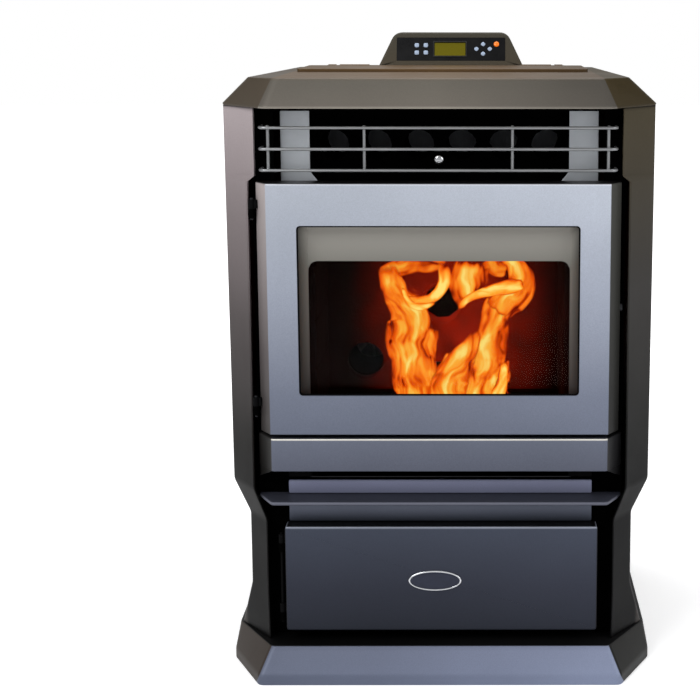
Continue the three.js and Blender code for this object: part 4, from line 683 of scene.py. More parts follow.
# Painted shadow under the lid along the post tops. Both posts run from black at the bottom to lit
# at the top as painted light; the left post is painted lit and the right one shaded, each tinted
# by painted reflection.
post_top_shadow = between(749.5, 751, 12, 12, 12)
left_post_lit_paint = paint(
    "post_left_lit",
    [(47, 8, 8, 8), (230, 9, 9, 8), (262, 13, 12, 11), (330, 28, 26, 24), (480, 84, 78, 78),
     (600, 126, 117, 118), (748, 174, 163, 165), *post_top_shadow],
    flank=flank_colour, shine=0.06)
right_post_shaded_paint = paint(
    "post_right_shaded",
    [(47, 8, 8, 9), (230, 9, 9, 10), (262, 15, 15, 15), (330, 26, 26, 25), (520, 62, 60, 58),
     (748, 79, 72, 57), *post_top_shadow],
    flank=flank_colour, shine=0.06)
# Painted light on the lid: a painted highlight along its lower edge, the left bevel lit and the
# right one shaded, and the middle brighter than the sides.
lid_paint = paint(
    "lid_taupe",
    [(751, 150, 144, 134), (754.5, 88, 83, 76), (784, 82, 78, 71), (787.6, 84, 76, 66),
     *between(788, 794, 85, 65, 40)],
    sides=(554.6, 0.44, between(751, 788, 71, 62, 50), between(751, 788, 52, 41, 12)),
    across=(0.98, 1.24, 0.68), roughness=0.46)
console_paint = paint("console_taupe", [(788, 66, 59, 47), (840, 62, 59, 50)], shine=0.15,
                      roughness=0.5)
# Painted shade on the rear panel: darker towards the bottom.
rear_paint = paint("rear_grey", [(47, 44, 43, 42), (751, 70, 67, 64)])
# Painted light and shade on the shelf: dark underneath, a painted highlight along the front edge,
# and a darker top.
shelf_paint = paint(
    "shelf_grey",
    [(238, 16, 16, 18), (239, 88, 90, 102), (241.8, 102, 104, 116), (242.7, 56, 58, 68),
     (243, 55, 57, 67)], roughness=0.5, shine=0.15)
# Painted shade on the aprons: the lower one dark at its foot and under a painted shadow of the
# shelf at its top, the upper one a little darker under the bar.
apron_paint = paint(
    "apron_grey",
    [(205, 54, 58, 68), (212, 76, 81, 94), (222, 98, 103, 118), (230, 96, 101, 116),
     (236.5, 34, 36, 42), (243.5, 128, 132, 157), (258, 146, 150, 178),
     (261.5, 126, 130, 154)], shine=0.15)
black_paint = paint("matt_black", [(0, 5, 5, 6), (800, 7, 7, 8)], metallic=0.05,
                    roughness=0.65, shine=0.05)
# Near-black without shine: painted shade for the dark inside of the warm-air outlet.
shadow_black = paint("shadow_black", [(0, 3, 3, 3), (800, 4, 4, 4)], metallic=0.0,
                   roughness=0.9, shine=0.0)
reveal_paint = lining_finish()
steel = bare_metal("brushed_steel", srgb(150, 152, 156), 0.34)
dark_steel = bare_metal("blued_steel", srgb(40, 41, 44), 0.45, metallic=0.7)
dull_steel = bare_metal("dull_steel", srgb(112, 114, 118), 0.45, stretch=(20, 20, 1))
rod_steel = bare_metal("rod_steel", srgb(148, 150, 152), 0.34, metallic=0.8,
                       stretch=(1, 20, 20))
aluminium = bare_metal("satin_aluminium", srgb(206, 211, 217), 0.38, metallic=0.6,
                       stretch=(1, 1, 12))
chrome = bare_metal("chrome", srgb(226, 228, 232), 0.09, grain=20, depth=0.01)
cast_iron = iron_finish()
fire_brick = brick_finish()
glass = clear_glass()
flame_orange = flame_finish("flame_orange", 1.5)
flame_yellow = flame_finish("flame_yellow", 1.6, heat_shift=0.22)
flame_red = flame_finish("flame_red", 1.4, heat_shift=-0.08)
rope = rope_finish()
black_gloss = gloss_plastic("gloss_black", srgb(6, 6, 8), 0.3, shine=0.16)
black_plastic = gloss_plastic("black_plastic", srgb(14, 14, 15), 0.45)
key_plastic = gloss_plastic("pale_blue_key", srgb(160, 176, 200), 0.4)
screen = screen_finish()
amber = clouded("amber_lamp", 500, 2, srgb(206, 92, 14), srgb(236, 132, 30), Roughness=0.2,
                Emission_Color=srgb(240, 110, 20), Emission_Strength=0.45)
board = board_finish()
navy = clouded("navy_enamel", 120, 3, srgb(24, 28, 44), srgb(34, 40, 60), Roughness=0.3,
               Metallic=0.3)


# ---- sheet-metal shells
def nosed_plan(nose_half, half, front, bevel, back, z, inset, taper=0.0):
    """Plan outline at a height: a flat nose, a bevel at each front corner, and sides that
    draw in by `taper` towards the back."""
    half_plan = [(nose_half - inset / 2, front + inset),
                 (half - inset, front + bevel + inset / 2),
                 (half - taper - inset, back - inset)]
    return level(both_sides(half_plan), z)


def bent(folds, plan_radius):
    """Rings of a sheet-metal body that is folded at each (plan, height, inset, radius of the
    fold), with the corners of its plans bent to radii of their own."""
    steps = 4
    rings = [nosed_plan(**plan, z=z, inset=inset) for plan, z, inset, _ in folds]
    plan = np.swapaxes(soften(np.swapaxes(rings, 0, 1), plan_radius, steps, closed=True), 0, 1)
    return soften(plan, [radius for *_, radius in folds], steps)


def base_plinth():
    """Hollow base: upright rim, sloping skirt, flat top with a mouth under the cabinet."""
    rim_h, sheet, front = 13, 3, base_lo[1]
    foot = dict(nose_half=237, half=base_hi[0], front=front, bevel=100, back=BACK_Y)
    top = dict(nose_half=222, half=276, front=front + 20, bevel=97, back=BACK_Y)
    mouth = dict(nose_half=246, half=252, front=FRAME_Y + 17, bevel=6, back=BACK_Y - 17)
    height = base_hi[2]
    steps = [(foot, sheet, sheet, 1), (foot, rim_h, sheet, 1),
             (top, height - sheet, sheet, 2), (mouth, height - sheet, 0, 1),
             (mouth, height, 0, 1), (top, height, 0, 2.2), (foot, rim_h, 0, 3),
             (foot, 0.6, 0, 1.5), (foot, 0, 0.6, 0.5), (foot, 0, 4, 1)]
    ring_piece("base_skin", bent(steps, [6, 5, 2, 2, 5, 6]), base_paint, "stove", "body_paint",
               ["base_plinth"])


def side_panel(name, side, material):
    """Side sheet from the front return round the slanting pillar to the rear flange. The
    section is bent at each corner, and flares at the waist, the belly and the air outlet."""
    post_y, sheet_back = -235.0, BACK_Y - 2.3
    z, inner, outer, bevel = np.transpose(
        [(47.3, 226, 272, 68), (112, 227, 255, 42), (211, 227, 255, 42), (253, 243, 278, 55),
         (657, 243, 279.6, 55), (664, 234, 279.64, 55), (750.7, 234, 280, 55)])
    corners = [(inner, post_y + 12), (inner, post_y), (outer, post_y + bevel),
               (outer, sheet_back), (outer - 14, sheet_back)]
    lines = [np.stack(np.broadcast_arrays(x, y, z), -1) for x, y in corners]
    lines = soften(lines, 3.5, 5)
    along = unit(np.gradient(lines, axis=0))
    inward = np.stack([-along[..., 1], along[..., 0], along[..., 2] * 0], -1)
    section = np.concatenate([lines, (lines + unit(inward) * SHEET)[::-1]])
    rings = soften(np.swapaxes(section, 0, 1), [1, 4, 4, 4, 1.5, 1.5, 1], 4)
    ring_piece(f"{name}_side_skin", rings * [side, 1, 1], material, "stove", "body_paint",
               [f"{name}_side_panel"])


def top_lid():
    """Lid: sloping front and corners, a flat top with the hopper mouth, a flange below, and
    two ears at the back that carry the hopper lid's pin."""
    sheet, slope = 3, 18
    low = dict(nose_half=218, half=lid_hi[0], front=lid_lo[1], bevel=90, back=BACK_Y)
    high = dict(nose_half=205, half=242, front=FACE_Y + 5, bevel=30, back=BACK_Y - slope,
                taper=20)
    mouth = dict(nose_half=182, half=186, front=-1, bevel=4, back=139)
    flange = dict(nose_half=217, half=lid_hi[0] - 58, front=FRAME_Y + 6, bevel=8,
                  back=BACK_Y - 14)
    steps = [(mouth, TOP_Z - sheet, 0, 1), (mouth, TOP_Z, 0, 1), (high, TOP_Z, 0, 2.4),
             (low, LID_Z + 2.5, 0, 1.6), (low, LID_Z, 0.8, 0.8), (flange, LID_Z, 0, 0.8),
             (flange, LID_Z + sheet, 0, 0.8), (low, LID_Z + sheet, sheet, 0.8),
             (high, TOP_Z - sheet, sheet, 1), (mouth, TOP_Z - sheet, 0, 1)]
    skin = Skin()
    skin.ring_stack(bent(steps, [7, 7, 3, 3, 7, 7]), caps=False)
    for middle in (-168, 168):
        bored_ear(skin, middle, 12, TOP_Z - 0.6)
    make("lid_skin", skin, lid_paint, "stove", "lid_paint", ["top_plate"])


def bored_ear(skin, x, width, foot_z=None):
    """Ear round the hopper lid's pin, or one that is round above and runs straight down to
    foot_z."""
    turns, reach, bore = 32, 2.6, pin_radius + 0.25
    c, s = circle(turns)
    outer_y, outer_z = c * reach, s * reach
    if foot_z is not None:
        straight = np.sign(c) * np.minimum(reach, np.abs(c) * 40)
        outer_y = np.where(s < 0, straight, outer_y)
        outer_z = np.where(s < 0, (foot_z - pin_z) * np.minimum(1, -s * 3), outer_z)

    def ring(y, z, across):
        return np.stack([np.full(turns, x + across), pin_y + y, pin_z + z], -1)
    half = width / 2
    skin.ring_stack([ring(c * bore, s * bore, -half), ring(outer_y, outer_z, -half),
                     ring(outer_y, outer_z, half), ring(c * bore, s * bore, half)], loop=True)


pin_lo, pin_hi = cad_box("hopper_hinge_pin")
pin_y, pin_z = (pin_lo[1] + pin_hi[1]) / 2, (pin_lo[2] + pin_hi[2]) / 2
pin_radius = (pin_hi[2] - pin_lo[2]) / 2
base_plinth()
side_panel("left", -1, left_post_lit_paint)
side_panel("right", 1, right_post_shaded_paint)
top_lid()


# ---- air outlet
def outlet_grille():
    """Three bent rods welded to four uprights, with a small bead at each crossing."""
    y, radius, half_w, back = -243.0, 2.0, 226, FRAME_Y - 0.3
    rod_z = [725.7, 698.85, 672.0]
    bead = [(0.2, -2.2), (1.3, -1.6), (1.8, 0), (1.3, 1.6), (0.2, 2.2)]
    skin = Skin()
    for z in rod_z:
        path = [(-half_w, back, z), (-half_w, y, z), (half_w, y, z), (half_w, back, z)]
        tube(skin, soften(path, 9, 7), radius, 16)
    for x in (-215, -93.5, 93.5, 215):
        path = np.array([(x, y + 3, rod_z[0] + 2), (x, y + 3, rod_z[-1] - 2)])
        tube(skin, path, radius, 16, up=Y)
        for z in rod_z:
            lathe(skin, bead, np.array([x, y + 1.5, z + 1.6]), X, 10)
    make("outlet_rods", skin, rod_steel, "stove", "steel", ["air_outlet_grille"])


def outlet_vane(name, side):
    """Upright sheet behind the rods, with a small foot that splays inwards."""
    inner, width, foot, foot_h = 168, 38, 20, 25
    low, high = 640.3, 784.7
    shape = np.array([(inner - foot, low), (inner + width, low), (inner + width, high),
                      (inner, high), (inner, low + foot_h)]) * [side, 1]
    outline = soften(frontal(shape, -185), [1.5, 1.5, 3, 3, 5], 4, closed=True)
    plate_piece(f"{name}_vane_sheet", outline, Y, (2, 0.4, 2), aluminium, "stove", "aluminium",
                [f"{name}_outlet_vane"])


def scraper():
    """Rod with a turned knob in front and a plate with a hole round each tube."""
    half_w, half_h, half_cell, thick = 192.3, 28.3, 28, 2
    tube_x = (np.arange(6) - 2.5) * 2 * half_cell
    z, rod_z, plate_y, hole_r, turns = 697, 683.5, -50, 24.3, 32
    end_x = half_cell * len(tube_x)
    skin = Skin()
    a = (np.arange(turns) + 0.5) * TAU / turns
    ring = np.stack([np.cos(a), np.sin(a)], -1)
    for x in tube_x:
        square = np.clip(ring * 60, [-half_cell, -half_h], [half_cell, half_h]) + [x, z]
        hole = ring * hole_r + [x, z]
        cell = [(square, plate_y), (hole, plate_y), (hole, plate_y + thick),
                (square, plate_y + thick)]
        skin.ring_stack([frontal(*step) for step in cell], loop=True)
    for side in (-1, 1):
        strip = frontal(rect(side * end_x, side * half_w, z - half_h, z + half_h), plate_y)
        plate(skin, strip, Y, thick, 0.2, 1)
    tube(skin, [(0, -209, rod_z), (0, -130, rod_z), (0, plate_y + thick, rod_z)], 3, 18)
    knob = [(2.9, 12), (4.0, 11.6), (4.4, 10), (5.8, 8.6), (6.8, 6.4), (7.0, 4.6),
            (6.4, 2.4), (5.0, 0.9), (3.0, 0.2), (0.6, 0)]
    lathe(skin, knob, np.array([0, -219, rod_z]), Y, 32)
    make("scraper_knob_rod", skin, chrome, "scraper", "chrome", ["scraper_rod"])


outlet_grille()
outlet_vane("left", -1)
outlet_vane("right", 1)
scraper()


# ---- console on the lid
console_x, console_y, console_h, console_lean = 8.0, 170.0, 52.0, 20.0
lean = math.atan2(console_lean, console_h)
face_mid = console_h / math.cos(lean) / 2 + 1.5


def on_face(x, y, z):
    """Point given on the console's leaning face (x right, y inwards, z up it), in the room."""
    x, y, z = np.broadcast_arrays(x, y, z)
    return np.stack([console_x + x,
                     console_y + y * math.cos(lean) + z * math.sin(lean),
                     TOP_Z - y * math.sin(lean) + z * math.cos(lean)], -1)


def face_rings(x, z, outline, profile):
    """Rings round (x, z) on the console's face: an outline, given as (u, v), made k times as
    large at each (k, y) of a profile."""
    u, v = outline
    return [on_face(x + u * k, y, z + v * k) for k, y in profile]


def console_housing():
    """Wedge with rounded upper corners; a shallow seat for the fascia and a pocket in it.
    At a height z the front lies at console_lean * t and the depth falls from 46 to 24."""
    foot_half, top_half, foot_z, roof_z = 109, 84, TOP_Z + 0.3, TOP_Z + 52
    corners = np.array([(-foot_half, foot_z), (foot_half, foot_z), (top_half, roof_z),
                        (-top_half, roof_z)], float)
    outline = soften(frontal(corners, 0), [2, 2, 11, 11], 8, closed=True)

    def at_depth(ring, share, shift):
        t = (ring[:, 2] - TOP_Z) / console_h
        y = console_y + console_lean * t + (46 - 22 * t) * share + shift
        return np.stack([ring[:, 0] + console_x, y, ring[:, 2]], -1)

    edge = 2.6
    rims = [(drawn_in(outline, edge * (1 - math.sin(a)), Y), edge * (1 - math.cos(a)))
            for a in np.linspace(0, np.pi / 2, 5)]
    front_rings = [at_depth(ring, 0, rise) for ring, rise in rims]
    back_rings = [at_depth(ring, 1, -rise) for ring, rise in rims]
    inner = drawn_in(outline, edge + 0.8, Y)
    seat_half_w, seat_half_h = 81.3, 18.3
    face = np.clip((inner[:, 2] - TOP_Z) / math.cos(lean), face_mid - seat_half_h,
                   face_mid + seat_half_h)
    across = np.clip(inner[:, 0], -seat_half_w, seat_half_w)
    pocket_x, pocket_z = across * 0.95, face_mid + (face - face_mid) * 0.85
    rings = [on_face(pocket_x, 12, pocket_z), on_face(pocket_x, 2.3, pocket_z),
             on_face(across, 2.3, face), on_face(across, 0, face), at_depth(inner, 0, 0),
             *front_rings, *back_rings[::-1]]
    ring_piece("console_skin", rings, console_paint, "stove", "lid_paint", ["console_housing"],
               sharp=50)


def key_cap(name, x, z, reach, turned):
    """Key with a crowned cap: |x|^n + |z|^n = reach^n, standing square or on its corner. It
    keeps its round stem behind the fascia."""
    power = 3.0 if turned else 4.0
    c, s = circle(40)
    u, v = np.array([c, s]) * reach * (np.abs(c) ** power + np.abs(s) ** power) ** (-1 / power)
    if turned:
        u, v = (u - v) * math.sqrt(0.5), (u + v) * math.sqrt(0.5)
    cap = [(0.55, -1.5), (0.82, -1.42), (0.96, -1.2), (1.0, -0.95), (1.0, -0.7)]
    stem = [(2.2, -0.7), (2.2, 3.2)]
    rings = face_rings(x, z, (u, v), cap) + face_rings(x, z, (c, s), stem)
    ring_piece(f"{name}_cap", rings, key_plastic, name, "key_plastic", [name])


def console_keys():
    """Two rows of two menu keys and a pad of four keys, each on its own body."""
    for number in range(4):
        row, column = divmod(number, 2)
        key_cap(f"menu_key_{number + 1}", -44.5 + (column - 0.5) * 13.5,
                face_mid + (0.5 - row) * 11.5, 3.3, False)
    pad_x, reach_x, reach_z = 48.0, 10.0, 7.5
    for name, x, z in (("left", -reach_x, 0), ("right", reach_x, 0), ("up", 0, reach_z),
                       ("down", 0, -reach_z)):
        key_cap(f"pad_key_{name}", pad_x + x, face_mid + z, 3.0, True)


def pilot_lamp():
    """Small domed lens in the fascia, above the key pad on the right."""
    profile = [(0.8, -1.4), (2.4, -1.25), (3.44, -0.85), (3.92, -0.3), (4, 0.2), (4, 4)]
    rings = face_rings(68, face_mid + 8, circle(28), profile)
    ring_piece("pilot_lens", rings, amber, "stove", "lamp", ["status_lamp"])


def screen_surround():
    """Thin raised frame round the display."""
    x, half_w, half_h = -1.5, 23.4, 10.4
    section = [(0.2, 0.3), (0.2, -0.5), (0.6, -0.9), (1.6, -0.9), (2, -0.5), (2, 0.3)]
    flats = frame_rings((-half_w, half_w, -half_h, half_h), section, 1.5, 4)
    rings = [on_face(x + flat[:, 0], flat[:, 1], face_mid + flat[:, 2]) for flat in flats]
    ring_piece("screen_surround", rings, black_plastic, "stove", "black_plastic", loop=True)


console_housing()
console_keys()
pilot_lamp()
screen_surround()


# ---- hopper lid
def hopper_lid():
    """Thin flat lid: softened corners, a rolled edge, a shallow lip turned down round the
    seal, and two knuckles bored for the pin."""
    lid_low, lid_high = cad_box("hopper_lid")
    half, front, back = lid_high[0], lid_low[1], 155.0
    z, thick = TOP_Z + 2.2, 2.1
    skin = Skin()
    corners = rect(-half, half, front, back)
    plate(skin, soften(level(corners, z), 7, 6, closed=True), Z, thick, 0.9, 4)
    lip = soften(level(corners * 0.998, TOP_Z + 0.3), 6, 6, closed=True)
    inner = drawn_in(lip, 1.2, Z)
    up = [0, 0, z + 0.6 - TOP_Z]
    skin.ring_stack([inner, lip, lip + up, inner + up], loop=True)
    ear_w = 44
    for middle in (-135, 135):
        leaf = rect(middle - ear_w / 2, middle + ear_w / 2, back - 2, pin_y - 1)
        plate(skin, level(leaf, z + 0.1), Z, 1.8, 0.2, 1)
        bored_ear(skin, middle, ear_w)
    make("hopper_lid_skin", skin, lid_paint, "hopper_lid", "lid_paint", ["hopper_lid"])


hopper_lid()


# ---- fire door
door_half, face_half = door_hi[0], 218.0
window_half, window_z0, window_z1 = 180.0, 383.0, 603.0


def lattice_axis(marks, between, hold=0.9):
    """Sorted coordinates: each mark with a close neighbour on both sides, and points no
    further apart than `between` in the stretches left."""
    marks = np.asarray(marks, float)
    close = np.concatenate([marks[:-1] + hold, marks[1:] - hold])
    steps = [np.linspace(a, b, int(np.ceil((b - a) / between)) + 1)
             for a, b in zip(marks[:-1], marks[1:])]
    return np.unique(np.round(np.concatenate([marks, close, *steps]), 4))


def corner_bend(u, start, end, depth):
    """Depth at |u| of a flat that turns at `start` into a slope reaching `depth` at `end`,
    with the turn eased over a few millimetres: the soft maximum of 0 and the slope."""
    slope = depth / (end - start)
    ease = 1.3

    def soft(x):
        return 0.5 * (x + np.sqrt(x * x + ease * ease))
    return soft((np.abs(u) - start) * slope) - soft(-start * slope)


def door_shell():
    """Door pressed from sheet: flat face with a window, bevelled side edges, rolled top and
    bottom edges, and sides that run back to the seal."""
    z0, z1 = door_lo[2], door_hi[2]
    roll, back_y, bevel, turned = 2.2, -215.0, 25.0, 8
    x = lattice_axis([-door_half, -face_half, -window_half, 0, window_half, face_half,
                      door_half], 24)
    z = lattice_axis([z0, z0 + roll, window_z0, window_z1, z1 - roll, z1], 24, 0.5)
    rolled = np.array([0.1, 0.3, 0.55]) * roll
    z = np.unique(np.concatenate([z, z0 + rolled, z1 - rolled]))
    edge = np.clip(roll - np.minimum(z - z0, z1 - z), 0, roll)
    drop = roll - np.sqrt(roll * roll - edge * edge)
    grid_x, grid_z = np.meshgrid(x, z, indexing="ij")
    y = FACE_Y + corner_bend(grid_x, face_half, door_half, bevel) + drop[None, :]
    skin = Skin()
    face = np.stack([grid_x, y, grid_z], -1)
    mid_x, mid_z = (x[1:] + x[:-1]) / 2, (z[1:] + z[:-1]) / 2
    inside = ((np.abs(mid_x) < window_half)[:, None]
              & ((mid_z > window_z0) & (mid_z < window_z1))[None, :])
    skin.quads(skin.add(face), ~inside)
    front = border(face)
    sides = [front + [0, 1, 0] * (back_y - front) * share for share in (0, 0.15, 1)]
    turned_in = sides[-1] * [1 - turned / door_half, 1, 1]
    turned_in[:, 2] = np.clip(turned_in[:, 2], z0 + turned, z1 - turned)
    skin.wrap(skin.add([*sides, turned_in]))
    make("door_skin", skin, door_paint, "door", "door_paint", ["door_frame"], wall=2.4,
         rim=0.5, sharp=42)


def hinge_eyes(name, hinge_x, edge_x, heights, profile, body, slot):
    """Two eyes on a door's left side, turned from a closed profile round the hinge line,
    each with a web to the door's edge."""
    hinge_y, height = -235.0, 12.0
    skin = Skin()
    for z in heights:
        lathe(skin, profile, (hinge_x, hinge_y, z), Z, 24, loop=True)
        web = rect(hinge_x + 3, edge_x, z + 0.5, z + height - 0.5)
        plate(skin, frontal(web, hinge_y - 2), Y, 4, 0.4, 2)
    make(name, skin, black_paint, body, slot)


def window_reveal():
    """Lining of the window: splayed sides running back to the glass, and a flat band above
    the glass, whose opening has rounded upper corners."""
    front_y, panel_y, thick, flange = -251.7, -232.7, 3.0, 12.0
    glass_half, glass_top, corner_r = 168.0, 555.0, 12.0
    low, high = 379.0, 600.0
    x = lattice_axis([-1, -glass_half / window_half, glass_half / window_half, 1], 0.06, 0.004)
    z = lattice_axis([0, 0.8, 1], 0.05, 0.004)
    ring = border(np.stack(np.meshgrid(x, z, indexing="ij"), -1))

    def at(half, z0, z1, y):
        return frontal(ring * [half, z1 - z0] + [0, z0], y)
    opening = at(glass_half, low, high, panel_y)
    opening[:, 2] = np.minimum(opening[:, 2], glass_top)
    centre = np.array([glass_half - corner_r, glass_top - corner_r])
    over = np.stack([np.abs(opening[:, 0]), opening[:, 2]], -1) - centre
    in_corner = (over > 0).all(1)
    over[in_corner] = unit(over[in_corner]) * corner_r
    opening[in_corner, 0] = np.sign(opening[in_corner, 0]) * (centre[0] + over[in_corner, 0])
    opening[in_corner, 2] = centre[1] + over[in_corner, 1]
    outside = (window_half + flange, window_z0 - flange, window_z1 + flange)
    rings = [at(*outside, panel_y + thick), at(*outside, front_y),
             at(window_half, window_z0, window_z1, front_y),
             at(glass_half, low, high, panel_y), opening, opening + [0, thick, 0]]
    ring_piece("window_lining", rings, reveal_paint, "door", "cast_iron", ["door_reveal"],
               loop=True, sharp=25)


def black_frame(name, box, section, radius):
    """Frame in the door: its section runs once round through (growth, y)."""
    rings = frame_rings(box, section, radius)
    ring_piece(name, rings, black_paint, "door", "cast_iron", loop=True)


def window_corners():
    """Fillets that round the four corners of the window in the door's face."""
    radius, over = 5.0, 0.6
    a = np.linspace(0, np.pi / 2, 8)
    arc = np.stack([np.cos(a) - 1, np.sin(a) - 1], -1) * radius
    fillet = np.concatenate([[(over, -radius)], arc, [(-radius, over), (over, over)]])
    skin = Skin()
    for side_x, side_z in ((-1, -1), (1, -1), (1, 1), (-1, 1)):
        corner_z = window_z1 if side_z > 0 else window_z0
        outline = fillet * [side_x, side_z] + [window_half * side_x, corner_z]
        skin.ring_stack([frontal(outline, FACE_Y + 0.02), frontal(outline, FACE_Y + 2.3)])
    make("window_corners", skin, door_paint, "door", "door_paint")


door_shell()
# Both pairs of eyes have a 5.5 mm bore and are 12 mm high; the stove door's are chamfered.
hinge_eyes("door_knuckles", -238, -door_half + 2, (365, 622.5),
           [(2.75, 0), (3.6, 0), (4, 0.4), (4, 11.6), (3.6, 12), (2.75, 12)], "door",
           "door_paint")
window_reveal()
# A thin black ring between the door's face and the lining of its window: a painted shadow line
# along the window's edge.
black_frame("window_shadow_line", (-window_half, window_half, window_z0, window_z1),
            [(0.6, -252.3), (-2, -252.0), (-2, -251.2), (0.6, -251.2)], 3.5)
window_corners()
# The frame behind the glass that carries the rope seal.
black_frame("seal_land", (-192, 192, 335, 648),
            [(-12, -229), (0, -229), (0, -221.6), (-12, -221.6)], 6)


# ---- ash drawer and shelf
def ash_drawer():
    """Bar with bevelled ends, a wing under each end that deepens towards the back, and a
    sheet tray."""
    bar_z0, bar_z1 = 282.5, 326.0
    wing_half, wing_y, wing_z = 238.0, -218.0, 267.5
    skin = Skin()
    bar = both_sides([(217, FACE_Y), (wing_half, wing_y - 0.5), (wing_half, -215)])
    outline = soften(level(bar, bar_z0), [4, 2.2, 2.2, 2.2, 2.2, 4], 5, closed=True)
    plate(skin, outline, Z, bar_z1 - bar_z0, 1.3, 4)
    for side in (-1, 1):
        wing = np.array([(218, FACE_Y + 3), (237.5, wing_y), (235, wing_y + 1.5),
                         (215.8, FACE_Y + 4.8)]) * [side, 1]
        top = level(wing, bar_z0 + 1.5)
        foot = top.copy()
        foot[:, 2] = [bar_z0, wing_z, wing_z, bar_z0]
        skin.ring_stack([drawn_in(foot, 0.25, Z), foot + Z * 0.3, top])
    make("drawer_bar", skin, bar_paint, "ash_drawer", "body_paint", ["ash_drawer"])

    half, y0, y1, z0, z1, wall = 174, -219, -31, 265.3, 315.3, 2
    outer, inner = rect(-half, half, y0, y1), rect(wall - half, half - wall, y0 + wall, y1 - wall)
    rings = [soften(level(pairs, z), 5, 4, closed=True) for pairs, z in
             ((outer, z0), (outer, z1), (inner, z1), (inner, z0 + wall))]
    # Painted shade: the tray takes dark blued steel so that it reads as shade in the gap under
    # the bar.
    ring_piece("drawer_tray", soften(rings, [1, 0.8, 0.8, 2], 3), dark_steel, "ash_drawer",
               "body_paint")


def apron(name, half, z0, z1, body, material):
    """Flat folded panel set back under the drawer or the shelf."""
    outline = soften(frontal(rect(-half, half, z0, z1), -219), 2.2, 4, closed=True)
    plate_piece(name, outline, Y, (4, 0.9, 3), material, body, "body_paint")


def ash_shelf():
    """Thin shelf with bevelled front corners and a rolled edge."""
    plan = both_sides([(218, -260), (239, -217), (239, FRAME_Y - 0.3)])
    outline = soften(level(plan, 238), [5, 4, 3, 3, 4, 5], 5, closed=True)
    plate_piece("shelf_skin", outline, Z, (5, 1.7, 4), shelf_paint, "stove", "body_paint",
                ["ash_shelf"])


ash_drawer()
# Painted shade: the apron behind the drawer is matt black, standing for the shadow under the bar.
apron("drawer_apron", 200, 265.5, 282.3, "ash_drawer", black_paint)
apron("upper_apron", 200, 243.3, 261.5, "stove", apron_paint)
apron("lower_apron", 200, 205, 237.7, "stove", apron_paint)
ash_shelf()


# ---- pedestal door
def pedestal_door():
    """Pressed pan: flat face and rolled edges, hung by two bored eyes on the left."""
    middle, half, z0, z1, front, back = 1.5, 205.5, 61.5, 204.5, -243.0, -218.0
    face = frontal(rect(middle - half, middle + half, z0, z1), front)
    outline = soften(face, 4.5, 5, closed=True)
    roll, wall, depth = 2.4, 3.0, back - front
    steps = [(roll + 1.0, 0)]
    steps += [(roll * (1 - math.sin(a)), roll * (1 - math.cos(a)))
              for a in np.linspace(0, np.pi / 2, 6)]
    steps += [(0, depth), (wall, depth), (wall, wall)]
    rings = [drawn_in(outline, inset, Y) + Y * rise for inset, rise in steps]
    ring_piece("pedestal_door_skin", rings, cupboard_paint, "pedestal_door", "body_paint",
               ["pedestal_door"])
    hinge_eyes("pedestal_door_eyes", -209, middle - half + 1, (85.5, 180.5),
               [(2.75, 0), (4, 0), (4, 12), (2.75, 12)], "pedestal_door", "body_paint")


def oval_badge():
    """Bare oval plate: polished rim standing proud, dark enamel in the middle."""
    middle = np.array([-7.0, 0, 131.0])
    half_w, half_h = 35.0, 14.0
    c, s = circle(96)

    def oval(name, material, section, *stands_for):
        rings = [middle + frontal(np.stack([c * (half_w - inset), s * (half_h - inset)], -1), y)
                 for inset, y in section]
        ring_piece(name, rings, material, "pedestal_door", "chrome", stands_for)
    oval("badge_rim", chrome, [(0, -243.3), (0, -244.3), (0.3, -244.9), (0.9, -245.2),
                               (1.6, -245.2), (2.2, -244.9), (2.5, -244.2), (2.5, -243.5)],
         "badge_plate")
    oval("badge_enamel", navy, [(2.4, -243.6), (2.4, -244.3), (2.9, -244.5), (6, -244.7),
                                (10, -244.8)])


pedestal_door()
oval_badge()


# ---- fire box
def brick_slab(name, face_x, rear_x):
    """Cast brick panel: a flat slab whose inner face has a running bond of mortar grooves.
    The groove depth is a smooth dip in the distance to the nearest joint."""
    front, back, low, high = -202.7, -39.3, 344.3, 600.3
    course, length, groove, depth = 64.0, 118.0, 2.2, 2.6
    rim, rim_width, clear = 1.5, 1.2, 0.15  # worn rim, and how far all of it lies back
    grid_y, grid_z = np.meshgrid(np.linspace(front, back, 151), np.linspace(low, high, 170),
                                 indexing="ij")
    courses = (grid_z - low) / course
    lengths = grid_y / length + 0.5 * (np.floor(courses) % 2) + 0.13
    bed, perpend = (np.abs(n - np.round(n)) * size for n, size in
                    ((courses, course), (lengths, length)))
    joint = np.exp(-(bed / groove) ** 2) + np.exp(-(perpend / groove) ** 2)
    edge = np.minimum(np.minimum(grid_y - front, back - grid_y),
                      np.minimum(grid_z - low, high - grid_z))
    sunk = depth * np.minimum(joint, 1) + rim * np.exp(-edge / rim_width) + clear
    face = np.stack([face_x + np.sign(rear_x - face_x) * sunk, grid_y, grid_z], -1)
    skin = Skin()
    ids = skin.add(face)
    skin.quads(ids)
    rear = border(face) * [0, 1, 1] + X * rear_x
    rear_ids = skin.add(rear)
    skin.wrap(np.stack([border(ids), rear_ids]))
    skin.faces.append(rear_ids.tolist())
    make(f"{name}_face", skin, fire_brick, "stove", "fire_brick", [name])


brick_slab("left_brick", -160.7, -180.7)
brick_slab("right_brick", 160.7, 180.7)


# ---- flames
def smooth_through(values, fine):
    """Values read between evenly spaced knots by a Catmull-Rom curve."""
    last = len(values) - 1
    padded = np.r_[2 * values[0] - values[1], values, 2 * values[-1] - values[-2]]
    s = np.clip(fine * last, 0, last - 1e-9)
    i = s.astype(int)
    f = s - i
    a, b, c, d = (padded[i + k] for k in range(4))
    return 0.5 * (2 * b + (c - a) * f + (2 * a - 5 * b + 4 * c - d) * f ** 2
                  + (3 * b - a - 3 * c + d) * f ** 3)


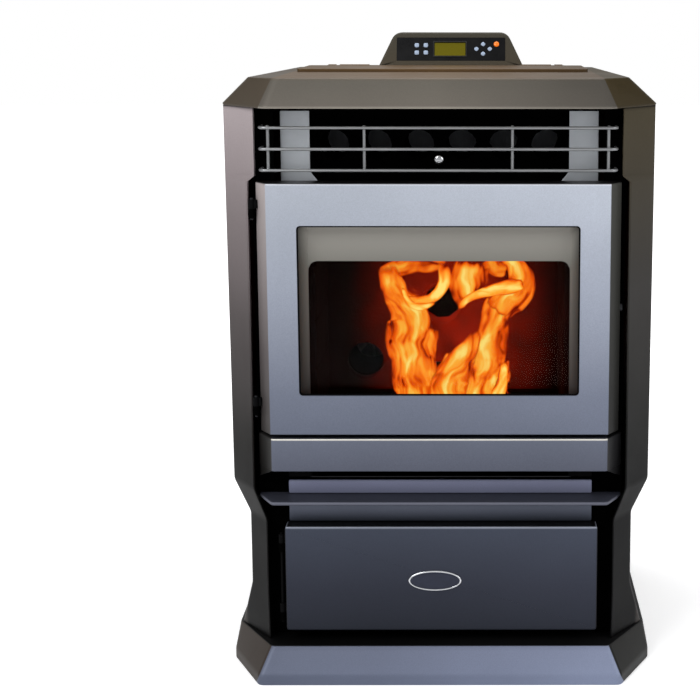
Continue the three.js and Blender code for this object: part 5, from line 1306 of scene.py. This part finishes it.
RIM_FADE = 1.08  # the rim of a flame fades out, so its sheet is this much wider


def flame(name, material, y, spine):
    """Tongue of fire along a spine of (x, z, width) points. Its section is a thin lens. The
    UV map runs across and along it; the flow map is the same in metres, moved on for each
    flame so that no two burn alike."""
    depth = 4.0
    fine = np.linspace(0, 1, 80)
    x, z, width = (smooth_through(values, fine) for values in np.transpose(spine).astype(float))
    half = np.maximum(width * RIM_FADE, 0.4) / 2
    path = np.stack([x, np.full(x.shape, y), z], -1)
    side = unit(np.cross(Y, unit(np.gradient(path, axis=0))))
    c, s = circle(28)
    across = c * half[:, None]
    rings = path[:, None] + side[:, None] * across[..., None] + Y * (depth / 2 * s)[:, None]
    travelled = np.cumsum(np.r_[0, np.linalg.norm(np.diff(path, axis=0), axis=-1)])
    uv = np.stack(np.broadcast_arrays(0.5 + 0.5 * c, fine[:, None]), -1)
    flow = np.stack(np.broadcast_arrays(across, travelled[:, None]), -1) * MM
    skin = Skin()
    skin.ring_stack(rings, uv=uv, flow=flow + rng.uniform(0, 5, 2))
    make(f"flame_{name}", skin, material, "stove", "lamp", sharp=180)


def fire():
    """The fire: a streaked column on the left whose head runs into a band under the baffle, a
    bright crescent over a dark hollow, a column on the right that leans out to a curling
    head with a bright tail, a plume between them and a low bridge over the burn pot."""
    flame("left_column", flame_orange, -132,
          [(-34, 347, 49), (-35, 372, 63), (-38, 410, 72), (-39, 442, 70), (-41, 469, 60),
           (-55, 491, 43), (-68, 513, 32), (-72, 542, 27)])
    flame("left_band", flame_red, -130,
          [(-83, 522, 14), (-64, 530, 27), (-37, 535, 24), (-10, 536, 24), (9, 539, 22)])
    flame("crescent", flame_yellow, -138,
          [(-45, 492, 5), (-34, 488, 11), (-15, 490, 13), (-2, 501, 15), (5, 518, 16),
           (2, 543, 15)])
    flame("notch", flame_yellow, -139,
          [(-52, 505, 4), (-46, 491, 8), (-37, 481, 9), (-24, 479, 8), (-7, 486, 4)])
    flame("middle", flame_orange, -129,
          [(25, 474, 6), (27, 488, 24), (30, 503, 42), (34, 520, 58), (38, 542, 62)])
    flame("bridge", flame_orange, -134,
          [(9, 347, 46), (10, 366, 49), (14, 383, 49), (25, 402, 41), (40, 425, 24),
           (49, 449, 11)])
    flame("bridge_tip", flame_orange, -133,
          [(-4, 371, 22), (2, 394, 16), (9, 416, 5)])
    flame("right_column", flame_orange, -132,
          [(47, 348, 82), (50, 374, 86), (60, 408, 68), (69, 441, 44), (73, 468, 40),
           (81, 489, 45)])
    flame("head", flame_orange, -135,
          [(74, 469, 35), (88, 488, 48), (102, 502, 46), (107, 520, 35), (95, 539, 21),
           (78, 545, 11)])
    flame("tail", flame_yellow, -140,
          [(111, 511, 13), (92, 507, 20), (72, 503, 16), (52, 497, 12), (34, 489, 9),
           (22, 475, 3)])
    flame("top_right", flame_red, -128,
          [(62, 544, 22), (73, 531, 27), (89, 523, 30)])
    flame("right_foot", flame_yellow, -136,
          [(74, 349, 19), (81, 373, 16), (86, 403, 8)])


fire()


# ---- solids kept as they are
for material, nodes in (
        # The inside of the air outlet takes the near-black of painted shade.
        (shadow_black, "heat_exchanger front_frame exhaust_fan_housing"),
        (black_paint, "stove_deck pedestal_hinge_pin igniter auger_screw flue_collar "
                      "fresh_air_pipe"),
        (black_gloss, "control_fascia"),
        (screen, "lcd_window"),
        (board, "control_board"),
        (rope, "hopper_lid_gasket door_gasket"),
        (dark_steel, "hopper_hinge_pin lower_door_hinge_pin upper_door_hinge_pin door_latch"),
        (dull_steel, "hopper_bin"),
        (glass, "door_glass"),
        (fire_brick, "back_brick feed_tube"),
        (cast_iron, "firebox_shell baffle_plate burn_pot"),
        (rear_paint, "rear_panel"),
        (black_plastic, "power_inlet"),
        (steel, "exhaust_impeller room_fan_housing"),
        (aluminium, "room_fan_impeller auger_motor exhaust_motor room_fan_motor"),
):
    finish_nodes(material, *nodes.split())


# ---- floor, backdrop, lamps
def make_floor():
    """Wide pale floor. The camera sees it white where light falls on it in full, and the
    stove's shadow stays."""
    reach = 14.0
    near_glow, near, far = 0.35, 0.75, 2.0  # glow beside the stove; it rises from near to far
    steps = np.linspace(-reach, reach, 9)
    grid_x, grid_y = np.meshgrid(steps, steps, indexing="ij")
    skin = Skin()
    skin.quads(skin.add(np.stack([grid_x, grid_y, grid_x * 0], -1) / MM))
    mesh = merged_mesh("floor", skin)
    finish = Finish("pale_floor", Roughness=0.9, Specular_IOR_Level=0.1)
    cloud = finish.noise(3, 3)
    finish.set(Base_Color=finish.mix(cloud, srgb(244, 244, 245), srgb(248, 248, 249)))
    seen = finish.node("LightPath", out="Is Camera Ray")
    finish.set(Emission_Color=srgb(255, 255, 255))
    lift = finish.span(finish.length(finish.place), near, far, near_glow, 1.0, smooth=True)
    finish.set(Emission_Strength=finish.times(seen, lift))
    mesh.materials.append(finish.material)
    placed("floor", mesh)


def make_lamp(name, place, size, power, aim_z):
    """Square soft lamp, `size` metres wide and `power` watts strong, that points at a height
    in the middle of the stove."""
    data = bpy.data.lights.new(name, "AREA")
    data.size, data.energy = size, power
    lamp = placed(name, data)
    lamp.location = place
    x, y, z = place
    pitch = math.atan2(math.hypot(x, y), z - aim_z)
    lamp.rotation_euler = (pitch, 0, math.atan2(-y, -x) - math.pi / 2)


def make_world():
    """White to the camera, plain grey as a light."""
    world = bpy.data.worlds.new("studio")
    world.use_nodes = True
    bpy.context.scene.world = world
    tree = world.node_tree
    back = tree.nodes["Background"]
    path = tree.nodes.new("ShaderNodeLightPath")
    strength = tree.nodes.new("ShaderNodeMapRange")
    as_light, as_backdrop = 0.5, 1.0
    strength.inputs[3].default_value = as_light
    strength.inputs[4].default_value = as_backdrop
    tree.links.new(path.outputs["Is Camera Ray"], strength.inputs[0])
    tree.links.new(strength.outputs[0], back.inputs["Strength"])
    back.inputs["Color"].default_value = (1, 1, 1, 1)


make_floor()
make_lamp("key", (-1.7, -2.4, 2.6), 1.8, 62, 0.5)
make_lamp("fill", (2.2, -1.8, 1.6), 1.6, 16, 0.4)
make_lamp("above", (0.1, 0.4, 2.8), 2.2, 40, 0.6)
make_world()
bpy.context.scene.view_settings.view_transform = "Standard"
